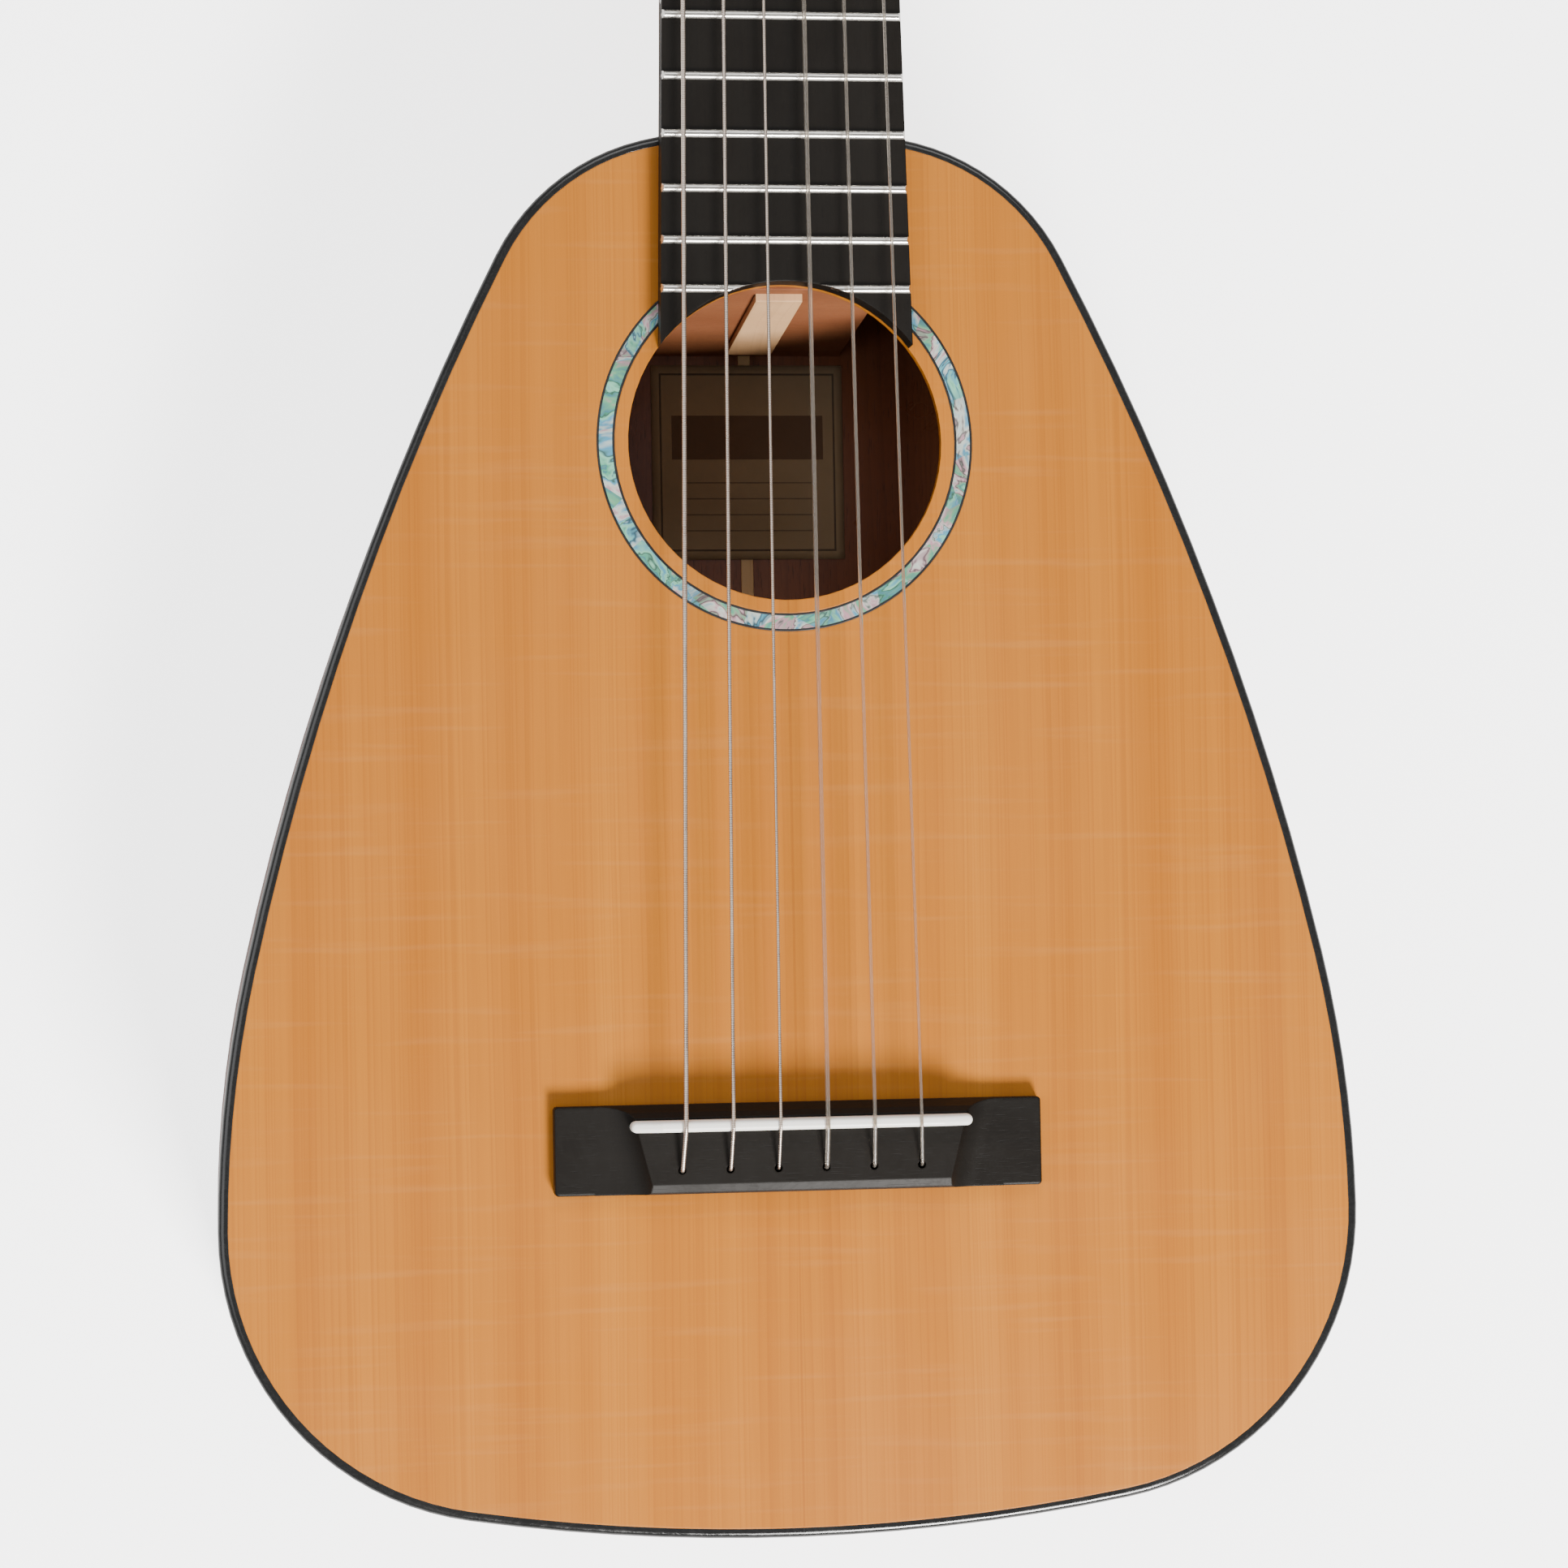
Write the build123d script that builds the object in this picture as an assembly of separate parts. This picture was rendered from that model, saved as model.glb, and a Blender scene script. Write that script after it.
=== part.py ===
"""A small six-string guitar with a pear-shaped body, a string-through bridge and open-geared tuners.

Frame, in millimetres: +Z is the outward normal of the soundboard, +Y runs along the neck to the head,
+X is the treble side. The back lies on Z = 0, and Y = 0 is the theoretical end of the open string.
"""

import os
from math import acos, atan2, cos, degrees, hypot, pi, radians, sin, tan

from build123d import *

os.makedirs("parts", exist_ok=True)

# ---------------------------------------------------------------- driving dimensions
SCALE = 508.0  # nut to the theoretical string end
FRET_COUNT = 17
BODY_DEPTH = 74.0
TOP_THICK = 2.4
BACK_THICK = 2.6
RIM_THICK = 2.3  # ribs and bindings share one thickness
BINDING_HEIGHT = 5.0
BINDING_ROUND = 1.6

# Half outline: tangent arcs from the centreline at the neck round to the tail, radius and sweep.
# The tail arc's radius follows from closing the outline on the centreline.
NECK_APEX_Y = 230.0
OUTLINE_ARCS = [(135.6, 13.9), (52.4, 49.1), (705.9, 14.2), (276.4, 12.4), (67.4, 80.8)]

HOLE_Y = 155.4
HOLE_R = 36.75
ROSETTE_INNER_R = 39.9
ROSETTE_OUTER_R = 44.1
ROSETTE_LINE = 0.55
ROSETTE_DEPTH = 1.2

BRIDGE_LENGTH = 113.2
BRIDGE_FRONT_Y = 2.5
BRIDGE_REAR_Y = -17.9
BRIDGE_BLOCK_REAR_HALF = 34.2
BRIDGE_BLOCK_FRONT_HALF = 39.5
WING_HEIGHT = 3.8
BLOCK_HEIGHT = 7.4
COVE_R = 8.0  # hollow between the block's ends and the wings
SADDLE_Y = -2.2
SADDLE_THICK = 2.7
SADDLE_LENGTH = 79.0
SADDLE_TOP = BODY_DEPTH + 11.4
SADDLE_FALL = 2.0  # how far its ends drop, over the run below
SADDLE_FALL_RUN = 8.0
SADDLE_CREST = 1.1  # radius of its rounded top edges
SADDLE_BREAK = 21.0  # degrees that a string turns down behind it
STRING_HOLE_Y = -12.4
STRING_HOLE_R = 0.9
SADDLE_PITCH = 10.88
HOLE_PITCH = 11.1

NUT_WIDTH = 46.0
NUT_THICK = 5.0
NUT_PITCH = 7.9
BOARD_THICK = 6.0
BOARD_TOP = BODY_DEPTH + BOARD_THICK
BOARD_END_WIDTH = 58.4  # at the last fret
NUT_CONTACT = BOARD_TOP + 1.5  # underside of the strings at the nut
NUT_WALL = 0.5  # how far the nut rises beside a string
FRET_WIDTH = 2.0
LAST_TURN = 280.0  # degrees that each string lies round its post before the turning coil takes over
TANG_WIDTH = 0.6
TANG_DEPTH = 1.7

NECK_DEPTH_NUT = 14.8
NECK_DEPTH_BODY = 17.0
NECK_SHAFT_END = 500.0  # where the round shaft starts to turn into the square head
HEEL_WIDTH = 22.0
HEEL_CAP_THICK = 3.0
TENON_HALF = 5.5

HEAD_ANGLE = 13.0
HEAD_THICK = 13.0
HEADPLATE_THICK = 2.0
HEAD_LENGTH = 118.0

# Gauge of each string, from the treble side: three plain, three wound.
GAUGES = [0.71, 0.82, 1.02, 0.74, 0.90, 1.09]
POST_Y = [26.0, 58.0, 90.0]
POST_X = [21.0, 20.4, 19.8]

# Tuner: a single-start worm drives a wheel of 15 teeth.
WHEEL_TEETH = 15
MODULE = 0.5
WORM_PITCH_R = 2.0
WHEEL_PITCH_R = MODULE * WHEEL_TEETH / 2
THREAD_PITCH = pi * MODULE
CENTRE_DISTANCE = WORM_PITCH_R + WHEEL_PITCH_R + 0.05
TOOTH_SHARE = 0.42  # of the pitch, on both members, so the mesh has backlash
PRESSURE_ANGLE = 20.0
WHEEL_THICK = 2.8
WHEEL_Z = -3.9  # mid-plane of wheel and worm, behind the head's back face
PLATE_THICK = 1.0
SHAFT_R = 1.3
POST_R = 3.0
WAIST_R = 2.6
RUNNING = 0.05

RIB_BOTTOM = BINDING_HEIGHT
RIB_TOP = BODY_DEPTH - BINDING_HEIGHT
INNER_TOP = BODY_DEPTH - TOP_THICK
BRIDGE_PLATE_THICK = 2.2
BRIDGE_PLATE_BOTTOM = INNER_TOP - BRIDGE_PLATE_THICK
LINING_THICK = 6.0
LINING_HEIGHT = 12.0
LINING_INSET = RIM_THICK + LINING_THICK
BLOCK_TOP_Y = 191.6
BLOCK_BOTTOM_Y = 185.6
NECK_BLOCK_HALF = 24.0
TAIL_BLOCK_HALF = 26.0
TAIL_BLOCK_THICK = 13.0
BRIDGE_PLATE_LENGTH = 120.0
BRIDGE_PLATE_WIDTH = 26.0
BRACE_WIDTH = 8.0
TOP_BRACE_HEIGHT = 14.0
BACK_BRACE_HEIGHT = 13.0
LOWER_BRACE_Y = 107.0
BACK_BRACES_Y = [118.0, 36.0, -46.0]
FAN_WIDTH = 5.0
FAN_HEIGHT = 5.5
FANS = [(-42, -10), (-21, -5), (0, 0), (21, 5), (42, 10)]  # place across the top, and lean in degrees

HEAD = Location((0, SCALE + NUT_THICK, BODY_DEPTH), (-HEAD_ANGLE, 0, 0))


# ---------------------------------------------------------------- outline of the body
def outline_points(inset):
    """Start, middle and end of every arc of the treble half, from the neck to the tail."""
    x, y, heading = 0.0, NECK_APEX_Y, 0.0
    swept = sum(sweep for _, sweep in OUTLINE_ARCS)
    arcs = list(OUTLINE_ARCS)
    points = []
    for number in range(len(arcs) + 1):
        if number < len(arcs):
            radius, sweep = arcs[number]
        else:
            sweep = 180.0 - swept
            radius = x / sin(radians(sweep))
        centre_x = x - radius * sin(radians(heading))
        centre_y = y - radius * cos(radians(heading))
        inner = radius - inset
        at = [heading, heading + sweep / 2, heading + sweep]
        points.append([(centre_x + inner * sin(radians(a)), centre_y + inner * cos(radians(a))) for a in at])
        heading += sweep
        x = centre_x + radius * sin(radians(heading))
        y = centre_y + radius * cos(radians(heading))
    # both ends lie on the centreline
    points[0][0] = (0.0, points[0][0][1])
    points[-1][2] = (0.0, points[-1][2][1])
    return points


def outline(inset):
    """Face inside the body outline, moved inwards by inset."""
    arcs = outline_points(inset)
    edges = [ThreePointArc(a, m, b) for a, m, b in arcs]
    edges += [ThreePointArc((-b[0], b[1]), (-m[0], m[1]), (-a[0], a[1])) for a, m, b in reversed(arcs)]
    return make_face(Wire(edges))


def slab(inset, low, high):
    """Solid inside the outline between two heights."""
    return Pos(0, 0, low) * extrude(outline(inset), high - low)


def ring(outer, inner, low, high):
    return slab(outer, low, high) - slab(inner, low, high)


def block(x0, x1, y0, y1, z0, z1):
    size = (x1 - x0, y1 - y0, z1 - z0)
    middle = ((x0 + x1) / 2, (y0 + y1) / 2, (z0 + z1) / 2)
    return Pos(*middle) * Box(*size)


def rod(radius, low, high):
    """Cylinder on the Z axis between two heights."""
    return Pos(0, 0, (low + high) / 2) * Cylinder(radius, high - low)


def halves(shape, gap_half=0.0):
    """The bass and the treble side of a shape, parted by a gap along the centreline."""
    far = 400.0
    bass = shape & block(-far, -gap_half, -far, far, -far, far)
    treble = shape & block(gap_half, far, -far, far, -far, far)
    return bass, treble


def yz_prism(points, x0, x1):
    """Polygon in the YZ plane, extruded along X."""
    face = make_face(Polyline(*[(x0, y, z) for y, z in points], close=True))
    return extrude(face, x1 - x0, dir=(1, 0, 0))


def xz_prism(points, y0, y1):
    """Polygon in the XZ plane, extruded along Y."""
    face = make_face(Polyline(*[(x, y0, z) for x, z in points], close=True))
    return extrude(face, y1 - y0, dir=(0, 1, 0))


def save(name, *solids):
    """Writes the solids as one node."""
    pieces = [s for shape in solids for s in shape.solids()]
    shape = pieces[0] if len(pieces) == 1 else Compound(children=pieces)
    export_step(shape, f"parts/{name}.step")
    print(name, len(pieces), "solid(s),", round(sum(p.volume for p in pieces) / 1000, 2), "cm3")


# ---------------------------------------------------------------- strings
def string_x(number, pitch):
    """Distance of a string from the centreline. Number 0 is the outermost treble string."""
    return (2.5 - number) * pitch


def post_place(number):
    """Place of a string's post on the head, in the head's own plane."""
    rank = number if number < 3 else 5 - number
    side = 1 if number < 3 else -1
    return side * POST_X[rank], POST_Y[rank], side


def head_point(x, y, z):
    """A point given in the head's own frame."""
    return (HEAD * Pos(x, y, z)).position


def wrap_height(number):
    """Height of the string above the head's wood, where it leaves the nut and meets its post."""
    rise = NUT_CONTACT + GAUGES[number] / 2 - BODY_DEPTH
    return rise * cos(radians(HEAD_ANGLE)) - NUT_THICK * sin(radians(HEAD_ANGLE))


def string_path(number):
    """Centreline: up through the bridge, over saddle and nut, then round the post."""
    radius = GAUGES[number] / 2
    hole_x = string_x(number, HOLE_PITCH)
    start = Vector(hole_x, STRING_HOLE_Y, INNER_TOP - 8.0)
    elbow = Vector(hole_x, STRING_HOLE_Y, BODY_DEPTH + BLOCK_HEIGHT + radius + 0.5)
    # the string leaves the crest where the saddle's flat ends, and bends at the crest's own radius
    crest = SADDLE_CREST + radius
    bend_y = SADDLE_Y - (SADDLE_THICK / 2 - SADDLE_CREST) - crest * tan(radians(SADDLE_BREAK / 2))
    over_saddle = Vector(string_x(number, SADDLE_PITCH), bend_y, SADDLE_TOP + radius + 0.03)
    over_nut = Vector(string_x(number, NUT_PITCH), SCALE, NUT_CONTACT + radius)
    # tangent from the nut to the post's waist, in the head's plane
    post_x, post_y, side = post_place(number)
    nut_local = HEAD.inverse() * Pos(*over_nut)
    from_x = nut_local.position.X - post_x
    from_y = nut_local.position.Y - post_y
    reach = WAIST_R + RUNNING + radius
    towards_nut = atan2(from_y, from_x)
    opening = acos(reach / hypot(from_x, from_y))
    touch = towards_nut + side * -opening
    height = wrap_height(number)

    def on_post(turn):
        angle = touch - side * turn
        return head_point(post_x + reach * cos(angle), post_y + reach * sin(angle), height)

    runs = FilletPolyline(start, elbow, over_saddle, over_nut, on_post(0), radius=[1.2, crest, 3.0])
    step = radians(LAST_TURN / 4)
    first_wrap = ThreePointArc(on_post(0), on_post(step), on_post(2 * step))
    second_wrap = ThreePointArc(on_post(2 * step), on_post(3 * step), on_post(4 * step))
    return Wire(list(runs.edges()) + [first_wrap, second_wrap])


def string_solid(number, grow=0.0):
    path = string_path(number)
    section = Plane(origin=path @ 0, z_dir=path % 0) * Circle(GAUGES[number] / 2 + grow)
    return sweep(section, path=path)


strings = [string_solid(number) for number in range(6)]
save("wound_strings", *strings[3:])
save("plain_strings", *strings[:3])


def bead(number):
    """Anchor under the bridge plate that the string end is held by."""
    place = Pos(string_x(number, HOLE_PITCH), STRING_HOLE_Y, 0)
    body = fillet(rod(2.5, BRIDGE_PLATE_BOTTOM - 3.4, BRIDGE_PLATE_BOTTOM).edges(), 0.5)
    return place * (body - rod(GAUGES[number] / 2, BRIDGE_PLATE_BOTTOM - 4, BRIDGE_PLATE_BOTTOM + 1))


# ---------------------------------------------------------------- the box
hole_bore = Pos(0, HOLE_Y, 0) * rod(HOLE_R, -1, 200)
string_bores = [Pos(string_x(n, HOLE_PITCH), STRING_HOLE_Y, 0) * rod(STRING_HOLE_R, 60, 90) for n in range(6)]
full_rim = ring(0, RIM_THICK, RIB_BOTTOM, RIB_TOP)

# The tail wedge is wider at the top, so it tightens as it is driven in.
tail_y = outline_points(0)[-1][2][1]
wedge_prism = xz_prism([(-3.0, 0), (3.0, 0), (4.5, 80), (-4.5, 80)], tail_y - 1, tail_y + 6)
tail_wedge = full_rim & wedge_prism
rim_bass, rim_treble = halves(full_rim - wedge_prism)
tenon_gap = block(-TENON_HALF, TENON_HALF, 200, 240, 0, BODY_DEPTH)
save("tail_wedge", tail_wedge)
save("rib_bass", rim_bass - tenon_gap)
save("rib_treble", rim_treble - tenon_gap)


def rounded_slab(low, high, top):
    """Slab on the full outline with its outer edge rounded at the top or at the bottom."""
    solid = slab(0, low, high)
    edges = solid.edges().group_by(Axis.Z)[-1 if top else 0]
    return fillet(edges, BINDING_ROUND)


top_rim = rounded_slab(RIB_TOP, BODY_DEPTH, True) - slab(RIM_THICK, RIB_TOP, BODY_DEPTH)
back_rim = rounded_slab(0, RIB_BOTTOM, False) - slab(RIM_THICK, 0, RIB_BOTTOM)
save("top_binding", *halves(top_rim))
save("back_binding", *halves(back_rim))


def annulus(inner, outer, low, high):
    return Pos(0, HOLE_Y, 0) * (rod(outer, low, high) - rod(inner, low, high))


soundboard = slab(RIM_THICK, INNER_TOP, BODY_DEPTH) - hole_bore
soundboard -= annulus(ROSETTE_INNER_R, ROSETTE_OUTER_R, BODY_DEPTH - ROSETTE_DEPTH, BODY_DEPTH + 1)
for bore in string_bores:
    soundboard -= bore
save("soundboard", soundboard)
rosette_low = BODY_DEPTH - ROSETTE_DEPTH
shell_inner_r = ROSETTE_INNER_R + ROSETTE_LINE
shell_outer_r = ROSETTE_OUTER_R - ROSETTE_LINE
inner_line = annulus(ROSETTE_INNER_R, shell_inner_r, rosette_low, BODY_DEPTH)
outer_line = annulus(shell_outer_r, ROSETTE_OUTER_R, rosette_low, BODY_DEPTH)
save("rosette_shell", annulus(shell_inner_r, shell_outer_r, rosette_low, BODY_DEPTH))
save("rosette_lines", inner_line, outer_line)

BACK_STRIP_HALF = 1.5
back = slab(RIM_THICK, 0, BACK_THICK)
save("back_plates", *halves(back, BACK_STRIP_HALF))
save("back_inlay_strip", back & block(-BACK_STRIP_HALF, BACK_STRIP_HALF, -400, 400, -1, BACK_THICK + 1))


def neck_block_envelope(proud):
    """Region between the rim and the sloped inner face of the neck block, moved inwards by proud."""
    slope = [
        (240, 0),
        (BLOCK_BOTTOM_Y - proud, 0),
        (BLOCK_TOP_Y - proud, BODY_DEPTH),
        (240, BODY_DEPTH),
    ]
    return yz_prism(slope, -NECK_BLOCK_HALF, NECK_BLOCK_HALF)


inside_rim = slab(RIM_THICK, BACK_THICK, INNER_TOP)
TENON_BOTTOM = 12.0
TENON_TOP = 67.5
tenon_bar = block(-TENON_HALF, TENON_HALF, 150, 240, TENON_BOTTOM, TENON_TOP)
neck_block = neck_block_envelope(0) & inside_rim
tail_block_front = tail_y + RIM_THICK + TAIL_BLOCK_THICK
tail_block = block(-TAIL_BLOCK_HALF, TAIL_BLOCK_HALF, tail_y, tail_block_front, 0, BODY_DEPTH) & inside_rim
save("neck_block", neck_block - tenon_bar)
save("tail_block", tail_block)


def lining(low, high):
    """Strip glued inside the rim, from the neck block to the tail block."""
    strip = ring(RIM_THICK, LINING_INSET, low, high)
    strip -= block(-NECK_BLOCK_HALF, NECK_BLOCK_HALF, 150, 240, 0, BODY_DEPTH)
    strip -= block(-TAIL_BLOCK_HALF, TAIL_BLOCK_HALF, -110, -60, 0, BODY_DEPTH)
    return halves(strip)


top_lining = lining(INNER_TOP - LINING_HEIGHT, INNER_TOP)
back_lining = lining(BACK_THICK, BACK_THICK + LINING_HEIGHT)
save("linings", *top_lining, *back_lining)

inside_linings = slab(LINING_INSET, BACK_THICK, INNER_TOP) - tail_block - neck_block


def cross_brace(y, width, height, on_top):
    """Brace across the body, scalloped down towards its ends."""
    reach = 140.0  # past the widest part of the body, so the linings trim both ends
    end = 3.0
    middle = reach * 0.45
    plate = INNER_TOP if on_top else BACK_THICK
    way = -1 if on_top else 1
    half = [(-reach, 0), (reach, 0), (reach, end), (middle, height), (-middle, height), (-reach, end)]
    profile = [(x, plate + way * z) for x, z in half]
    return xz_prism(profile, y - width / 2, y + width / 2) & inside_linings


def fan_brace(x, lean):
    """Slim brace that runs towards the tail under the bridge."""
    half = FAN_WIDTH / 2
    bar = block(-half, half, -95, 95, INNER_TOP - FAN_HEIGHT, INNER_TOP)
    return (Pos(x, 8, 0) * Rot(0, 0, lean) * bar) & inside_linings


def under_bridge(clearance):
    """Plate-shaped block under the bridge, grown sideways and down by the clearance."""
    middle = (BRIDGE_FRONT_Y + BRIDGE_REAR_Y) / 2
    half_x = BRIDGE_PLATE_LENGTH / 2 + clearance
    half_y = BRIDGE_PLATE_WIDTH / 2 + clearance
    low = BRIDGE_PLATE_BOTTOM - clearance / 2
    return block(-half_x, half_x, middle - half_y, middle + half_y, low, INNER_TOP)


bridge_plate = under_bridge(0)
for bore in string_bores:
    bridge_plate -= bore
save("bridge_plate", bridge_plate)

lower_transverse = cross_brace(LOWER_BRACE_Y, BRACE_WIDTH, TOP_BRACE_HEIGHT, True)
plate_notch = under_bridge(0.2)
bead_row = block(-32, 32, STRING_HOLE_Y - 4, STRING_HOLE_Y + 4, 60, BRIDGE_PLATE_BOTTOM + 1)
fans = [fan_brace(x, lean) - lower_transverse - plate_notch - bead_row for x, lean in FANS]
hole_braces = [block(x - 3, x + 3, LOWER_BRACE_Y + 4, 186, INNER_TOP - 5, INNER_TOP) for x in (-48, 48)]
save("top_braces", lower_transverse, *[brace & inside_linings for brace in hole_braces], *fans)
save("back_braces", *[cross_brace(y, BRACE_WIDTH, BACK_BRACE_HEIGHT, False) for y in BACK_BRACES_Y])
save("string_beads", *[bead(number) for number in range(6)])


# ---------------------------------------------------------------- bridge and saddle
def bridge():
    """Low wings, and a raised middle whose ends sweep down to them."""
    base = BODY_DEPTH
    front, rear = BRIDGE_FRONT_Y, BRIDGE_REAR_Y
    wings = block(-BRIDGE_LENGTH / 2, BRIDGE_LENGTH / 2, rear, front, base, base + WING_HEIGHT)
    wings = fillet(wings.edges().filter_by(Axis.Z), 0.9)
    wings = fillet(wings.edges().group_by(Axis.Z)[-1], 0.6)
    top = base + BLOCK_HEIGHT
    profile = [
        (rear, base),
        (rear, top - 1.9),
        (rear + 0.4, top - 1.0),
        (rear + 2.2, top),
        (SADDLE_Y + 1.8, top),
        (front - 1.6, top - 1.4),
        (front, base + WING_HEIGHT - 0.4),
        (front, base),
    ]
    reach = BRIDGE_BLOCK_FRONT_HALF + 8
    middle = yz_prism(profile, -reach, reach)
    for side in (-1, 1):
        middle -= cove(side)
    return wings + middle


def cove(side):
    """Cutter that hollows one end of the raised middle down to the wing, on a slanting line."""
    wing_top = BODY_DEPTH + WING_HEIGHT
    rise = BLOCK_HEIGHT - WING_HEIGHT
    run = (COVE_R**2 - (COVE_R - rise) ** 2) ** 0.5
    length = BRIDGE_FRONT_Y - BRIDGE_REAR_Y
    splay = degrees(atan2(BRIDGE_BLOCK_FRONT_HALF - BRIDGE_BLOCK_REAR_HALF, length))
    foot = (BRIDGE_BLOCK_FRONT_HALF + BRIDGE_BLOCK_REAR_HALF) / 2 + run
    big = 60  # longer than the bridge is wide
    roller = Pos(0, 0, COVE_R) * Rot(90, 0, 0) * Cylinder(COVE_R, big)
    beyond = Pos(side * big / 4, 0, big / 4) * Box(big / 2, big, big / 2)
    place = Pos(side * foot, (BRIDGE_FRONT_Y + BRIDGE_REAR_Y) / 2, wing_top) * Rot(0, 0, -side * splay)
    return place * (roller + beyond)


def saddle_blank(top):
    """Bone strip with round ends, standing in a slot that leaves the ridge whole."""
    plan = make_face(Pos(0, SADDLE_Y, 0) * SlotOverall(SADDLE_LENGTH, SADDLE_THICK).wire())
    bottom = BODY_DEPTH + 3.6
    return Pos(0, 0, bottom) * extrude(plan, top - bottom)


def along_crest(edge):
    return edge.center().Z > SADDLE_TOP - SADDLE_FALL - 0.1 and abs(edge.center().Y - SADDLE_Y) > 0.1


saddle = saddle_blank(SADDLE_TOP)
fall_end = SADDLE_LENGTH / 2 + 1
fall_start = fall_end - SADDLE_FALL_RUN
for side in (-1, 1):
    fall = [(side * fall_start, SADDLE_TOP), (side * fall_end, SADDLE_TOP - SADDLE_FALL)]
    fall += [(side * fall_end, SADDLE_TOP + 1), (side * fall_start, SADDLE_TOP + 1)]
    saddle -= xz_prism(fall, -10, 10)
saddle = fillet(saddle.edges().filter_by(along_crest), SADDLE_CREST)
bridge_solid = bridge() - saddle_blank(SADDLE_TOP + 5)
for bore in string_bores:
    bridge_solid -= bore
save("bridge", bridge_solid)
save("saddle", saddle)


# ---------------------------------------------------------------- fretboard, frets and nut
def board_half_width(y):
    """Half the fretboard's width, tapering from the last fret to the nut."""
    last = fret_y(FRET_COUNT)
    share = (y - last) / (SCALE - last)
    return (BOARD_END_WIDTH + (NUT_WIDTH - BOARD_END_WIDTH) * share) / 2


def fret_y(number):
    return SCALE * 2 ** (-number / 12)


def board_plan(y0, y1):
    a, b = board_half_width(y0), board_half_width(y1)
    return make_face(Polyline((-a, y0), (a, y0), (b, y1), (-b, y1), close=True))


BOARD_LOW_Y = 170.0
frets_y = [fret_y(number) for number in range(1, FRET_COUNT + 1)]
board = Pos(0, 0, BODY_DEPTH) * extrude(board_plan(BOARD_LOW_Y, SCALE), BOARD_THICK) - hole_bore
for y in frets_y:
    board -= block(-40, 40, y - TANG_WIDTH / 2, y + TANG_WIDTH / 2, BOARD_TOP - TANG_DEPTH, BOARD_TOP + 1)
save("fretboard", board)

bevelled = Pos(0, 0, BOARD_TOP) * extrude(board_plan(BOARD_LOW_Y, SCALE), 1.1, taper=30)
below = Pos(0, 0, BODY_DEPTH) * extrude(board_plan(BOARD_LOW_Y, SCALE), BOARD_THICK)


def fret(y):
    """Nickel wire: a round crown over a tang that fills the slot."""
    crown = Pos(0, y, BOARD_TOP) * Rot(0, 90, 0) * Cylinder(FRET_WIDTH / 2, 80)
    crown = crown & bevelled
    half = TANG_WIDTH / 2
    tang = block(-40, 40, y - half, y + half, BOARD_TOP - TANG_DEPTH, BOARD_TOP) & below
    return (crown + tang) - hole_bore


save("frets", *[fret(y) for y in frets_y])


def nut():
    """Bone nut with one slot for each string."""
    half = NUT_WIDTH / 2
    front, rear = SCALE, SCALE + NUT_THICK
    top = NUT_CONTACT + NUT_WALL
    side = [(front, BODY_DEPTH), (front, top), (front + 2.6, top - 0.1)]
    side += [(rear, top - 1.6), (rear, BODY_DEPTH)]
    body = yz_prism(side, -half, half)
    for number in range(6):
        body -= string_solid(number, 0.03)
    return body


save("nut", nut())


# ---------------------------------------------------------------- neck, heel and head
def neck_section(y, depth, half, flat, fullness):
    """Section of the neck: fullness 0.6 gives a round D, and 1 a square one."""
    top, low = BODY_DEPTH, BODY_DEPTH - depth
    knee_z = top - depth * fullness
    knee_x = half * fullness
    right = Bezier((half, y, top), (half, y, knee_z), (knee_x, y, low), (flat, y, low))
    left = Bezier((-flat, y, low), (-knee_x, y, low), (-half, y, knee_z), (-half, y, top))
    upper = Line((-half, y, top), (half, y, top))
    lower = Line((flat, y, low), (-flat, y, low))
    return make_face(Wire([upper, right, lower, left]))


def heel_section(z, half, front):
    """U-shaped plan of the heel at one height, open towards the body."""
    inner = 205.0
    straight = front - half * 0.9
    pull_y = front - half * 0.25
    pull_x = half * 0.45
    nose_r = Bezier((half, straight, z), (half, pull_y, z), (pull_x, front, z), (0, front, z))
    nose_l = Bezier((0, front, z), (-pull_x, front, z), (-half, pull_y, z), (-half, straight, z))
    sides = [Line((-half, inner, z), (half, inner, z)), Line((half, inner, z), (half, straight, z))]
    return make_face(Wire(sides + [nose_r, nose_l, Line((-half, straight, z), (-half, inner, z))]))


def head_plan(low_y):
    """Outline of the head in its own plane, from low_y to the crown."""
    low_half = NUT_WIDTH / 2 + 0.4
    points = [(-low_half, low_y), (low_half, low_y), (low_half, 1), (29.8, 17), (27.4, HEAD_LENGTH - 7)]
    points += [(0, HEAD_LENGTH), (-27.4, HEAD_LENGTH - 7), (-29.8, 17), (-low_half, 1)]
    plan = make_face(Polyline(*points, close=True))
    vertices = plan.vertices()
    plan = fillet(vertices.filter_by(lambda v: abs(v.Y - 17) < 0.1), 26)
    plan = fillet(plan.vertices().filter_by(lambda v: abs(v.Y - HEAD_LENGTH + 7) < 0.1), 5)
    return fillet(plan.vertices().filter_by(lambda v: abs(v.Y - HEAD_LENGTH) < 0.1), 30)


def post_bores(radius, low, high):
    """Bores for the six posts, between two heights in the head's frame."""
    places = [post_place(number) for number in range(6)]
    return [HEAD * Pos(x, y, 0) * rod(radius, low, high) for x, y, _ in places]


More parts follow.
